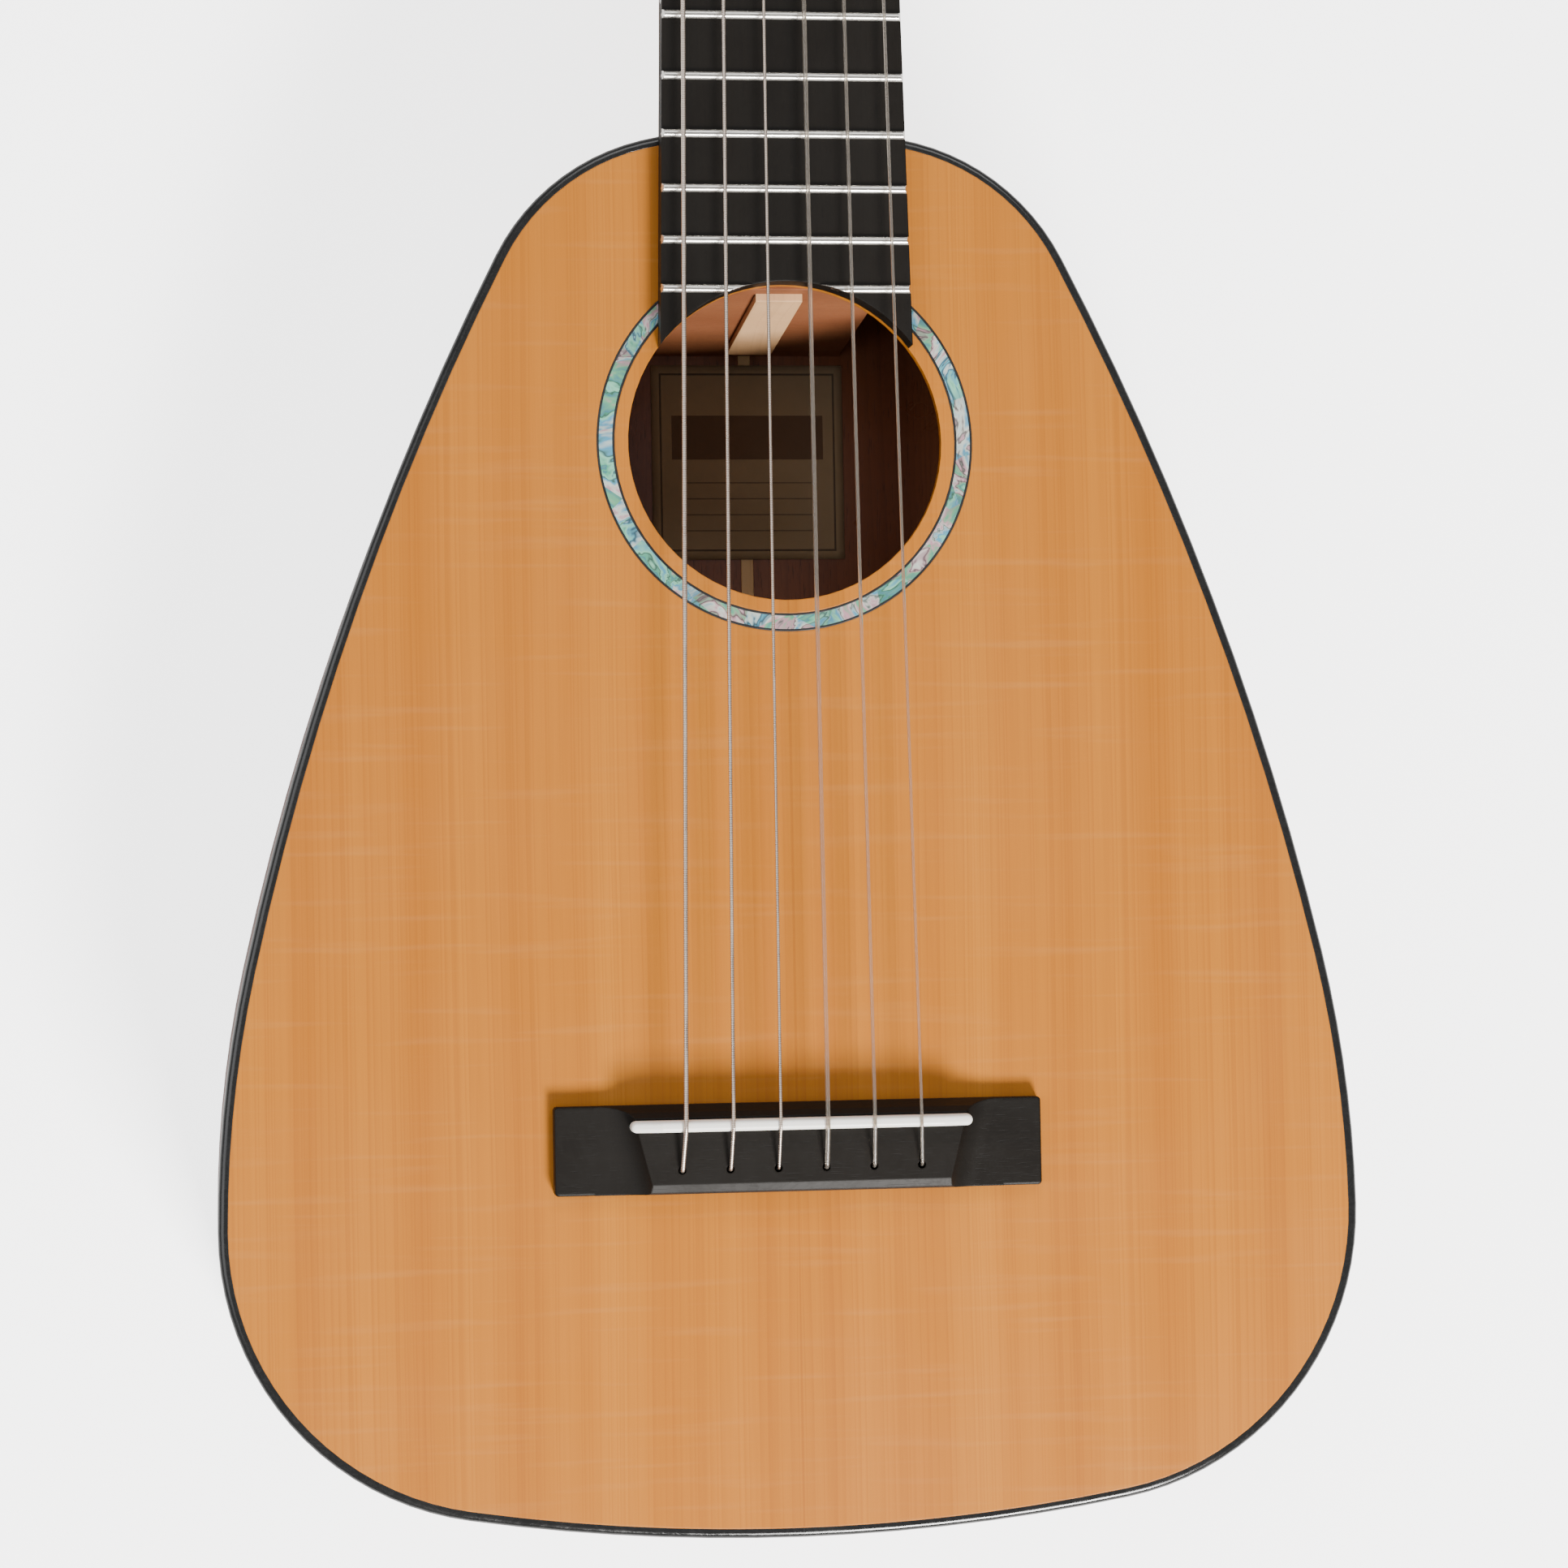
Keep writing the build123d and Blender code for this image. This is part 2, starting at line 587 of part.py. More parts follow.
def neck():
    """Shaft, carved heel, head and tenon, from one blank."""
    start = (NECK_SHAFT_END, NECK_DEPTH_NUT, board_half_width(NECK_SHAFT_END), 4, 0.62)
    end = (216, NECK_DEPTH_BODY, board_half_width(216), 4, 0.62)
    shaft = loft([neck_section(*start), neck_section(*end)], ruled=True)
    # the round section turns square over the last rows: place, depth, half width, flat and fullness
    turn_in = [start, (506, 14.2, NUT_WIDTH / 2, 7, 0.72), (512, 13.9, NUT_WIDTH / 2, 13, 0.87)]
    turn_in += [(518, 14.5, NUT_WIDTH / 2 + 0.2, 18, 0.98)]
    shaft += loft([neck_section(*row) for row in turn_in])
    cap_z = BACK_THICK + HEEL_CAP_THICK
    # height, half width and foremost point of the heel, from its cap up to the shaft
    heel_rows = [(cap_z, HEEL_WIDTH / 2, 247), (21, 11.9, 248), (37, 14.4, 251.5), (48, 17.8, 258)]
    heel_rows += [(55, 21.2, 268), (60, 24.4, 284)]
    heel = loft([heel_section(*row) for row in heel_rows])
    wood = shaft + heel
    head_block = HEAD * extrude(Pos(0, 0, -HEAD_THICK) * head_plan(-4), HEAD_THICK)
    above_head = HEAD * block(-60, 60, -40, 200, 0, 60)
    beyond_nut = block(-60, 60, SCALE + NUT_THICK, 700, -60, 200)
    wood -= above_head & beyond_nut
    wood += head_block & block(-60, 60, SCALE + NUT_THICK + 2, 700, -60, BODY_DEPTH)
    wood -= slab(0, -1, BODY_DEPTH)
    return wood + (tenon_bar & neck_block_envelope(1.8))


neck_solid = neck()
for bore in post_bores(4.0, -HEAD_THICK - 1, 1):
    neck_solid -= bore


def heel_cap():
    plan = heel_section(BACK_THICK, HEEL_WIDTH / 2 + 0.3, 247.3)
    return extrude(plan, HEEL_CAP_THICK, dir=(0, 0, 1)) - slab(0, -1, BODY_DEPTH)


save("heel_cap", heel_cap())

headplate = HEAD * extrude(head_plan(-4), HEADPLATE_THICK)
headplate = headplate & block(-60, 60, SCALE + NUT_THICK, 700, -60, 200)
for bore in post_bores(4.0, -1, HEADPLATE_THICK + 1):
    headplate -= bore
save("headplate", headplate)


# ---------------------------------------------------------------- tuners
def wheel_section(turn, z):
    """Plan of the worm wheel at one height, with a tooth gap facing the worm at turn 0."""
    base_r = WHEEL_PITCH_R * cos(radians(PRESSURE_ANGLE))
    tip_r = WHEEL_PITCH_R + 0.45
    root_r = WHEEL_PITCH_R - 0.6
    half_tooth = TOOTH_SHARE * pi / WHEEL_TEETH

    def involute(radius):
        roll = acos(base_r / radius)
        return tan(roll) - roll

    def flank(radius):
        return half_tooth + involute(WHEEL_PITCH_R) - involute(max(radius, base_r))

    points = []
    for tooth in range(WHEEL_TEETH):
        middle = -pi / 2 + (tooth + 0.5) * 2 * pi / WHEEL_TEETH + turn
        radii = [root_r, base_r, WHEEL_PITCH_R, tip_r]
        points += [(r * cos(middle - flank(r)), r * sin(middle - flank(r)), z) for r in radii]
        points += [(r * cos(middle + flank(r)), r * sin(middle + flank(r)), z) for r in reversed(radii)]
    return make_face(Polyline(*points, close=True))


LEAD_SLOPE = THREAD_PITCH / (2 * pi * WORM_PITCH_R)


def worm_wheel():
    """Wheel with teeth inclined at the worm's lead angle, and the screw that holds it on its post."""
    half = WHEEL_THICK / 2
    twist = LEAD_SLOPE * half / WHEEL_PITCH_R
    teeth = loft([wheel_section(-twist, WHEEL_Z - half), wheel_section(twist, WHEEL_Z + half)], ruled=True)
    low = WHEEL_Z - half
    head = chamfer(rod(2.4, low - 1.4, low).edges().group_by(Axis.Z)[0], 0.4)
    head -= Pos(0, 0, low - 1.2) * Box(6, 0.6, 0.9)
    screw = head + rod(1.0, low, low + 5.5)
    return teeth - rod(1.9, low - 1, low + 9), screw


def post():
    """String post: wheel seat, journal, narrow waist for the windings and a domed top."""
    low = WHEEL_Z - WHEEL_THICK / 2
    waist_low = HEAD_THICK + 4.2
    waist_high = HEAD_THICK + 11.6
    top = waist_high + 3.0
    half = [
        (0, low),
        (1.9, low),
        (1.9, low + WHEEL_THICK),
        (POST_R, low + WHEEL_THICK),
        (POST_R, waist_low - 0.5),
        (WAIST_R, waist_low),
        (WAIST_R, waist_high),
        (POST_R, waist_high + 0.6),
        (POST_R, top - 0.6),
        (POST_R - 0.6, top),
        (0, top),
    ]
    face = make_face(Polyline(*[(r, 0, z) for r, z in half], close=True))
    return revolve(face, Axis.Z) - rod(1.0, low - 1, low + 5.5)


def worm_frame():
    """Plane whose normal is the worm's axis and whose X points at the wheel."""
    return Plane(origin=(0, -CENTRE_DISTANCE, WHEEL_Z), x_dir=(0, 1, 0), z_dir=(1, 0, 0))


def worm(side):
    """Worm with its shaft, which runs out on the given side to carry the button."""
    turns = 4
    length = turns * THREAD_PITCH
    root_r = WORM_PITCH_R - 0.55
    crest_r = WORM_PITCH_R + 0.45
    path = Helix(THREAD_PITCH, length, root_r, center=(0, 0, -length / 2))
    slope = tan(radians(PRESSURE_ANGLE))
    half = TOOTH_SHARE * THREAD_PITCH / 2
    deep = 0.2
    low = half + (WORM_PITCH_R - root_r + deep) * slope
    high = half - (crest_r - WORM_PITCH_R) * slope
    outer = crest_r - root_r
    start = path @ 0
    profile = Polyline(
        (root_r - deep, 0, start.Z - low),
        (root_r + outer, 0, start.Z - high),
        (root_r + outer, 0, start.Z + high),
        (root_r - deep, 0, start.Z + low),
        close=True,
    )
    thread = sweep(make_face(profile), path=path, is_frenet=True)
    kept = 3.1
    body = rod(root_r, -kept, kept) + (thread & rod(crest_r + 1, -kept, kept))
    body += rod(2.2, -4.2, -3.3) + rod(2.2, 3.3, 4.2)
    inner_end, outer_end = -6.0, 20.0
    shaft = rod(SHAFT_R, inner_end, outer_end) if side > 0 else rod(SHAFT_R, -outer_end, -inner_end)
    body += shaft
    return worm_frame().location * body


def button(side):
    """Oval finger button on the end of the worm shaft."""
    start, end = 12.6, 28.0
    plan = make_face(Ellipse((end - start - 2.5) / 2, 7.6).wire())
    wing = extrude(plan, 2.9, both=True)
    wing = fillet(wing.edges(), 2.2)
    wing = Pos(side * (end - (end - start - 2.5) / 2), 0, 0) * wing
    collar = Pos(0, 0, start + 2.5) * Cone(2.4, 3.4, 5)
    collar = Rot(0, 90 * side, 0) * collar
    body = wing + collar
    bore = Rot(0, 90 * side, 0) * rod(SHAFT_R, start - 1, 20.0)
    return Pos(0, -CENTRE_DISTANCE, WHEEL_Z) * (body - bore)


PLATE_SCREWS = [(0, -11.0), (0, 8.6)]


def tuner_plate():
    """Base plate with two folded ears that carry the worm."""
    plan = make_face(Pos(0, -1.2, 0) * RectangleRounded(15.0, 23.6, 3.0).wire())
    plate = extrude(plan, -PLATE_THICK)
    ear_plan = Pos(0, -CENTRE_DISTANCE, WHEEL_Z)
    for x in (-5.5, 4.3):
        round_end = ear_plan * Rot(0, 90, 0) * Cylinder(2.8, 1.2)
        round_end = Pos(x + 0.6, 0, 0) * round_end
        stem = block(x, x + 1.2, -CENTRE_DISTANCE - 2.8, -CENTRE_DISTANCE + 2.8, WHEEL_Z, -PLATE_THICK)
        plate += round_end + stem
    plate -= ear_plan * Rot(0, 90, 0) * Cylinder(SHAFT_R + RUNNING, 40)
    plate -= rod(POST_R + RUNNING, -3, 1)
    for x, y in PLATE_SCREWS:
        plate -= Pos(x, y, 0) * rod(1.0, -3, 1)
    return plate


def plate_screw():
    head = fillet(rod(1.9, -PLATE_THICK - 1.1, -PLATE_THICK).edges().group_by(Axis.Z)[0], 0.7)
    head -= Pos(0, 0, -PLATE_THICK - 1.1) * (Box(2.2, 0.5, 1.0) + Box(0.5, 2.2, 1.0))
    return head + rod(1.0, -PLATE_THICK, 7.0)


def bushing():
    """Flanged bush that lines the head from the front."""
    face_z = HEAD_THICK + HEADPLATE_THICK
    flange = fillet(rod(5.0, face_z, face_z + 1.2).edges().group_by(Axis.Z)[-1], 0.5)
    return flange + rod(4.0, face_z - 8, face_z) - rod(POST_R + RUNNING, 0, 40)


def coil(number):
    """Windings that turn with the post, closed by the end that passes through the post."""
    radius = GAUGES[number] / 2
    reach = WAIST_R + radius
    pitch = 2 * radius * 0.97
    first = HEAD_THICK + wrap_height(number) + 2 * radius + 0.06
    rings = [Pos(0, 0, first + k * pitch) * Torus(reach, radius) for k in range(3)]
    through = Pos(0, 0, first + 2 * pitch) * Rot(90, 0, 0) * Cylinder(radius, 2 * (reach + 2.4))
    return sum(rings, through)


def cross_bore(number):
    """Hole through the post for the string's end."""
    radius = GAUGES[number] / 2
    height = HEAD_THICK + wrap_height(number) + 2 * radius * (1 + 2 * 0.97) + 0.06
    return Pos(0, 0, height) * Rot(90, 0, 0) * Cylinder(radius, 20)


plates, bushings, screws = [], [], []
wheel, wheel_screw = worm_wheel()
for number in range(6):
    x, y, side = post_place(number)
    seat = HEAD * Pos(x, y, -HEAD_THICK)
    label = number + 1
    save(f"worm_{label}", seat * worm(side))
    save(f"button_{label}", seat * button(side))
    save(f"post_{label}", seat * (post() - cross_bore(number)))
    save(f"worm_wheel_{label}", seat * wheel, seat * wheel_screw)
    save(f"string_coil_{label}", seat * coil(number))
    plates.append(seat * tuner_plate())
    bushings.append(seat * bushing())
    screws += [seat * Pos(sx, sy, 0) * plate_screw() for sx, sy in PLATE_SCREWS]
    for sx, sy in PLATE_SCREWS:
        neck_solid -= seat * Pos(sx, sy, 0) * rod(1.0, -1, 7.0)

save("tuner_plates", *plates)
save("tuner_bushings", *bushings)
save("tuner_screws", *screws)
save("neck", neck_solid)
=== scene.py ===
# %% [markdown]
# # A small pear-shaped guitar, finished in Blender
#
# The woodwork, the strings and the tuning machines arrive as a fixed frame of exact parts. What is left
# for Blender is what a finisher does in a workshop: choosing the timber, staining, varnishing and
# polishing, gluing in the paper label, and lighting the result.
#
# Everything is in metres. +Z is the normal of the soundboard, +Y runs up the neck and +X is the treble side.

import math

import bmesh
import bpy
from mathutils import Matrix, Vector


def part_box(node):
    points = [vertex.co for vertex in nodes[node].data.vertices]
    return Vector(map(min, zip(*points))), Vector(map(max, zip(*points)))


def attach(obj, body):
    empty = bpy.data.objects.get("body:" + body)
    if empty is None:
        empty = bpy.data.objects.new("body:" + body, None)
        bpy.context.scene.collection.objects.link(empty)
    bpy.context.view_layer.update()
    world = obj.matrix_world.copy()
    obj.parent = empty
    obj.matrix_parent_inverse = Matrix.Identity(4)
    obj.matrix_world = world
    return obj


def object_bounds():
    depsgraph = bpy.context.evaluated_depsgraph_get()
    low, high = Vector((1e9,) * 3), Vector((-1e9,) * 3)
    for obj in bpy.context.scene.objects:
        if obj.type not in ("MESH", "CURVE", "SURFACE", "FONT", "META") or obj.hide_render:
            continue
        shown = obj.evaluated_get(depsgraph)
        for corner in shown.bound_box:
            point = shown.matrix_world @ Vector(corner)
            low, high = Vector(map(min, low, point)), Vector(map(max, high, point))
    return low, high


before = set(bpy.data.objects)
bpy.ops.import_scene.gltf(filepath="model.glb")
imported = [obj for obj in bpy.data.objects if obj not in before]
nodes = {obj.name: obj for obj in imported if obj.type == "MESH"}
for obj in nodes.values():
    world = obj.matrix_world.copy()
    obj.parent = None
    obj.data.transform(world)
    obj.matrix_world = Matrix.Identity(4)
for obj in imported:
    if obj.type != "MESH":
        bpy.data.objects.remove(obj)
frame_box = [list(corner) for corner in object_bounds()]
print("frame box", frame_box)

# %% [markdown]
# ## Writing shaders in code
#
# A shader is a small graph, and in code each box of it is one call. A few short helpers keep the
# materials below readable: one to place a box, one for arithmetic, one for blending colours and one for
# a ramp. They only save typing; the choices stay in each material.

# %% Helpers for shader graphs
MM = 0.001


def place(tree, kind, inputs=(), **settings):
    """A shader node with its settings, and its inputs joined to sockets or set to values."""
    made = tree.nodes.new(kind)
    for name, value in settings.items():
        setattr(made, name, value)
    for name, value in dict(inputs).items():
        if isinstance(value, bpy.types.NodeSocket):
            tree.links.new(value, made.inputs[name])
        else:
            made.inputs[name].default_value = value
    return made


def math_of(tree, operation, a, b=0.0):
    return place(tree, "ShaderNodeMath", {0: a, 1: b}, operation=operation).outputs[0]


def blend_of(tree, factor, a, b, kind="MIX"):
    """Two colours blended; a colour is a socket or three linear values."""
    made = tree.nodes.new("ShaderNodeMix")
    made.data_type = "RGBA"
    made.blend_type = kind
    for index, value in ((0, factor), (6, a), (7, b)):
        if isinstance(value, bpy.types.NodeSocket):
            tree.links.new(value, made.inputs[index])
        elif index == 0:
            made.inputs[0].default_value = value
        else:
            made.inputs[index].default_value = (*value, 1.0)
    return made.outputs[2]


def ramp_of(tree, value, stops):
    """A colour ramp; stops are (position, grey) or (position, (r, g, b))."""
    made = place(tree, "ShaderNodeValToRGB", {"Fac": value})
    ramp = made.color_ramp
    while len(ramp.elements) < len(stops):
        ramp.elements.new(0.5)
    for element, (position, colour) in zip(ramp.elements, stops):
        element.position = position
        triple = (colour, colour, colour) if isinstance(colour, (int, float)) else colour
        element.color = (*triple, 1.0)
    return made.outputs["Color"]


def stretched(tree, vector, scale):
    """The vector with each axis scaled, so that a round texture becomes a long one."""
    return place(tree, "ShaderNodeVectorMath", {0: vector, 1: scale}, operation="MULTIPLY").outputs[0]


def noise_of(tree, vector, scale=1.0, detail=2.0, roughness=0.5, distortion=0.0):
    inputs = {"Vector": vector, "Scale": scale, "Detail": detail, "Roughness": roughness}
    inputs["Distortion"] = distortion
    return place(tree, "ShaderNodeTexNoise", inputs).outputs["Fac"]


def new_group(name, inputs, outputs):
    """An empty node group: inputs and outputs are lists of (name, socket kind, default or None)."""
    group = bpy.data.node_groups.new(name, "ShaderNodeTree")
    for direction, sockets in (("INPUT", inputs), ("OUTPUT", outputs)):
        for label, kind, default in sockets:
            made = group.interface.new_socket(name=label, in_out=direction, socket_type=kind)
            if default is not None:
                made.default_value = default
    return group, group.nodes.new("NodeGroupInput"), group.nodes.new("NodeGroupOutput")


def use_group(tree, group, inputs=()):
    return place(tree, "ShaderNodeGroup", inputs, node_tree=group).outputs


FLOAT, VECTOR = "NodeSocketFloat", "NodeSocketVector"
print("helpers ready")

# %% [markdown]
# ## Wood, built once
#
# Every wooden part of the guitar shows the same three things at different sizes: growth rings, which
# read as long lines on a quarter-sawn board, broad streaks where the tree's colour changes, and short
# open pores. A picture of a board would repeat and would need unwrapping. Noise that is stretched along
# the grain needs neither, so one group makes the three masks, and each timber colours them in its own way.
#
# The group takes a vector whose X runs across the grain and whose Y runs along it, in metres.

# %% The wood group
wood_figure, enter, leave = new_group(
    "wood figure",
    [
        ("Grain", VECTOR, None),
        ("Ring Spacing", FLOAT, 1.6 * MM),
        ("Wander", FLOAT, 1.2 * MM),
        ("Pore Length", FLOAT, 6 * MM),
    ],
    [("Rings", FLOAT, None), ("Streaks", FLOAT, None), ("Pores", FLOAT, None), ("Fibre", FLOAT, None)],
)
tree = wood_figure
grain = enter.outputs["Grain"]
# rings wander sideways slowly as they run up the board
drift = noise_of(tree, stretched(tree, grain, (9.0, 3.0, 9.0)), detail=2.0)
drift = math_of(tree, "MULTIPLY", math_of(tree, "SUBTRACT", drift, 0.5), enter.outputs["Wander"])
drift = math_of(tree, "MULTIPLY", drift, 6.0)
split = place(tree, "ShaderNodeSeparateXYZ", {"Vector": grain})
across = math_of(tree, "ADD", split.outputs["X"], drift)
# spacing is uneven: wide years and narrow years
years = math_of(tree, "MULTIPLY", across, 60.0)
year = place(tree, "ShaderNodeTexNoise", {"W": years, "Detail": 1.0}, noise_dimensions="1D")
across = math_of(tree, "ADD", across, math_of(tree, "MULTIPLY", year.outputs["Fac"], 7 * MM))
phase = math_of(tree, "DIVIDE", across, enter.outputs["Ring Spacing"])
saw = math_of(tree, "FRACT", phase)
# each ring darkens slowly towards its late wood and then stops short
late = math_of(tree, "POWER", saw, 3.0)
edge = place(tree, "ShaderNodeMapRange", {"Value": saw, 1: 0.93, 2: 1.0, 3: 1.0, 4: 0.0})
rings = math_of(tree, "MULTIPLY", late, edge.outputs[0])
tree.links.new(rings, leave.inputs["Rings"])
streaks = noise_of(tree, stretched(tree, grain, (42.0, 1.1, 42.0)), detail=3.0, roughness=0.55)
tree.links.new(ramp_of(tree, streaks, [(0.34, 0.0), (0.66, 1.0)]), leave.inputs["Streaks"])
pore_run = math_of(tree, "DIVIDE", 1.0, enter.outputs["Pore Length"])
pore_scale = place(tree, "ShaderNodeCombineXYZ", {"X": 3600.0, "Y": pore_run, "Z": 3600.0}).outputs[0]
pores = noise_of(tree, stretched(tree, grain, pore_scale), detail=1.0)
tree.links.new(ramp_of(tree, pores, [(0.62, 0.0), (0.72, 1.0)]), leave.inputs["Pores"])
fibre = noise_of(tree, stretched(tree, grain, (1500.0, 28.0, 1500.0)), detail=3.0, roughness=0.6)
tree.links.new(fibre, leave.inputs["Fibre"])
print("group", wood_figure.name, "with", len(wood_figure.nodes), "nodes")

# %% [markdown]
# ## Handling and edges, built once
#
# Nothing on a used instrument is evenly shiny. Fingers leave soft smudges and a cloth leaves fine
# swirls, and both show in how the gloss changes, not in the colour. On an edge the finish is rounded and
# thinner. The first group gives smudges and swirls. The second compares the true normal with one that
# the Bevel node has softened: where they part there is an edge, and the softened normal catches light
# as a sanded arris does.

# %% The handling and edge groups
handling, enter, leave = new_group(
    "handling",
    [("Vector", VECTOR, None), ("Size", FLOAT, 30 * MM)],
    [("Smudge", FLOAT, None), ("Swirls", FLOAT, None)],
)
tree = handling
unit = math_of(tree, "DIVIDE", 1.0, enter.outputs["Size"])
smudge = noise_of(tree, enter.outputs["Vector"], scale=unit, detail=4.0, roughness=0.55, distortion=0.6)
tree.links.new(ramp_of(tree, smudge, [(0.36, 0.0), (0.68, 1.0)]), leave.inputs["Smudge"])
swirl_scale = math_of(tree, "MULTIPLY", unit, 2.0)
swirls = noise_of(tree, enter.outputs["Vector"], scale=swirl_scale, detail=8.0, roughness=0.8, distortion=2.2)
tree.links.new(ramp_of(tree, swirls, [(0.47, 0.0), (0.5, 1.0), (0.53, 0.0)]), leave.inputs["Swirls"])

soft_edge, enter, leave = new_group(
    "soft edge", [("Radius", FLOAT, 0.5 * MM)], [("Wear", FLOAT, None), ("Normal", VECTOR, None)]
)
tree = soft_edge
softened = place(tree, "ShaderNodeBevel", {"Radius": enter.outputs["Radius"]}, samples=4)
true_normal = tree.nodes.new("ShaderNodeNewGeometry").outputs["Normal"]
both = {0: softened.outputs[0], 1: true_normal}
likeness = place(tree, "ShaderNodeVectorMath", both, operation="DOT_PRODUCT").outputs["Value"]
parted = place(tree, "ShaderNodeMapRange", {"Value": likeness, 1: 0.98, 2: 0.82, 3: 0.0, 4: 1.0})
tree.links.new(parted.outputs[0], leave.inputs["Wear"])
tree.links.new(softened.outputs[0], leave.inputs["Normal"])
print("groups", handling.name, "and", soft_edge.name)

# %% [markdown]
# ## A material's skeleton
#
# Each material starts from the same bench: object coordinates in metres, so that the texture stays on
# its piece when a tuner turns, and one Principled shader. Values that are the same all over are set on
# the shader's own sockets.

# %% Start a material
TURNED = {"along_y": (0, 1, 2), "along_x": (1, 0, 2), "round_the_rim": (2, 1, 0)}


def start_material(name, **even_values):
    """A material with a Principled shader: returns it, its tree, the shader and object coordinates."""
    material = bpy.data.materials.new(name)
    material.use_nodes = True
    tree = material.node_tree
    tree.nodes.clear()
    shader = tree.nodes.new("ShaderNodeBsdfPrincipled")
    output = tree.nodes.new("ShaderNodeOutputMaterial")
    tree.links.new(shader.outputs["BSDF"], output.inputs["Surface"])
    for socket, value in even_values.items():
        shader.inputs[socket.replace("_", " ")].default_value = value
    where = tree.nodes.new("ShaderNodeTexCoord").outputs["Object"]
    return material, tree, shader, where


def grain_vector(tree, where, run, matched=False):
    """Coordinates turned so that X is across the grain; matched mirrors the two halves of a board."""
    parts = place(tree, "ShaderNodeSeparateXYZ", {"Vector": where}).outputs
    order = TURNED[run]
    first = parts[order[0]]
    if matched:
        first = math_of(tree, "ABSOLUTE", first)
    turned = {"X": first, "Y": parts[order[1]], "Z": parts[order[2]]}
    return place(tree, "ShaderNodeCombineXYZ", turned).outputs[0]


def finish_surface(tree, shader, colour, roughness, height=None, strength=0.2, distance=0.1 * MM, edge=None):
    """Joins colour, roughness and relief to the shader."""
    tree.links.new(colour, shader.inputs["Base Color"])
    tree.links.new(roughness, shader.inputs["Roughness"])
    if height is not None:
        bump = place(tree, "ShaderNodeBump", {"Height": height, "Strength": strength, "Distance": distance})
        if edge is not None:
            tree.links.new(edge, bump.inputs["Normal"])
        tree.links.new(bump.outputs[0], shader.inputs["Normal"])
    elif edge is not None:
        tree.links.new(edge, shader.inputs["Normal"])


def spread(tree, mask, low, high):
    """A mask from 0 to 1, spread between two values."""
    return place(tree, "ShaderNodeMapRange", {"Value": mask, 3: low, 4: high}).outputs[0]


print("material bench ready")

# %% [markdown]
# ## The spruce top
#
# The top is two boards sawn from one billet and opened like a book, so the grain on one side mirrors
# the other and meets in a fine joint line. The rings are straight and close, slightly darker than the
# pale early wood, with wide warm streaks. An amber varnish covers it: the colour comes from beneath a
# thin clear coat, which is smoother than the wood.

# %% Spruce
SPRUCE_PALE = (0.47, 0.165, 0.012)
SPRUCE_DEEP = (0.38, 0.118, 0.006)
SPRUCE_LATE = (0.27, 0.070, 0.004)


def spruce_top():
    varnish = dict(Coat_Weight=0.12, Coat_Roughness=0.28, Specular_IOR_Level=0.3)
    material, tree, shader, where = start_material("spruce top", **varnish)
    grain = grain_vector(tree, where, "along_y", matched=True)
    figure = use_group(tree, wood_figure, {"Grain": grain, "Ring Spacing": 2.1 * MM, "Wander": 1.0 * MM})
    touch = use_group(tree, handling, {"Vector": where, "Size": 70 * MM})
    arris = use_group(tree, soft_edge, {"Radius": 0.4 * MM})
    colour = blend_of(tree, figure["Streaks"], SPRUCE_PALE, SPRUCE_DEEP)
    colour = blend_of(tree, math_of(tree, "MULTIPLY", figure["Rings"], 0.34), colour, SPRUCE_LATE)
    fibre_tone = spread(tree, figure["Fibre"], 0.92, 1.08)
    grey = place(tree, "ShaderNodeCombineColor", {0: fibre_tone, 1: fibre_tone, 2: fibre_tone}).outputs[0]
    colour = blend_of(tree, 1.0, colour, grey, "MULTIPLY")
    # rays cross the grain as a faint silky shimmer
    silk = noise_of(tree, stretched(tree, where, (25.0, 420.0, 25.0)), detail=2.0)
    silk = ramp_of(tree, silk, [(0.55, 0.0), (0.75, 1.0)])
    colour = blend_of(tree, math_of(tree, "MULTIPLY", silk, 0.035), colour, (0.85, 0.55, 0.26))
    # the centre joint
    side = place(tree, "ShaderNodeSeparateXYZ", {"Vector": where}).outputs["X"]
    off_centre = math_of(tree, "ABSOLUTE", side)
    joint = place(tree, "ShaderNodeMapRange", {"Value": off_centre, 1: 0.0, 2: 0.35 * MM, 3: 0.35, 4: 0.0})
    colour = blend_of(tree, joint.outputs[0], colour, SPRUCE_LATE)
    # the sawn rim of the soundhole is end grain and drinks more varnish
    colour = blend_of(tree, math_of(tree, "MULTIPLY", arris["Wear"], 0.3), colour, (0.50, 0.20, 0.04))
    roughness = spread(tree, touch["Smudge"], 0.36, 0.48)
    ring_relief = math_of(tree, "MULTIPLY", figure["Rings"], 0.6)
    fibre_relief = math_of(tree, "MULTIPLY", figure["Fibre"], 0.4)
    height = math_of(tree, "ADD", ring_relief, fibre_relief)
    finish_surface(tree, shader, colour, roughness, height, 0.18, 0.05 * MM, arris["Normal"])
    return material


# %% [markdown]
# ## The darker timbers
#
# The back and ribs are of a red-brown, open-pored wood. Under satin varnish the pores stay visible
# as short dark dashes along the grain. On the bent ribs the grain runs round the rim, so across the
# grain means upwards there. The ribs are stained darker than the back, and the neck is left pale. One
# function makes all of them, with its own colours and direction each time.


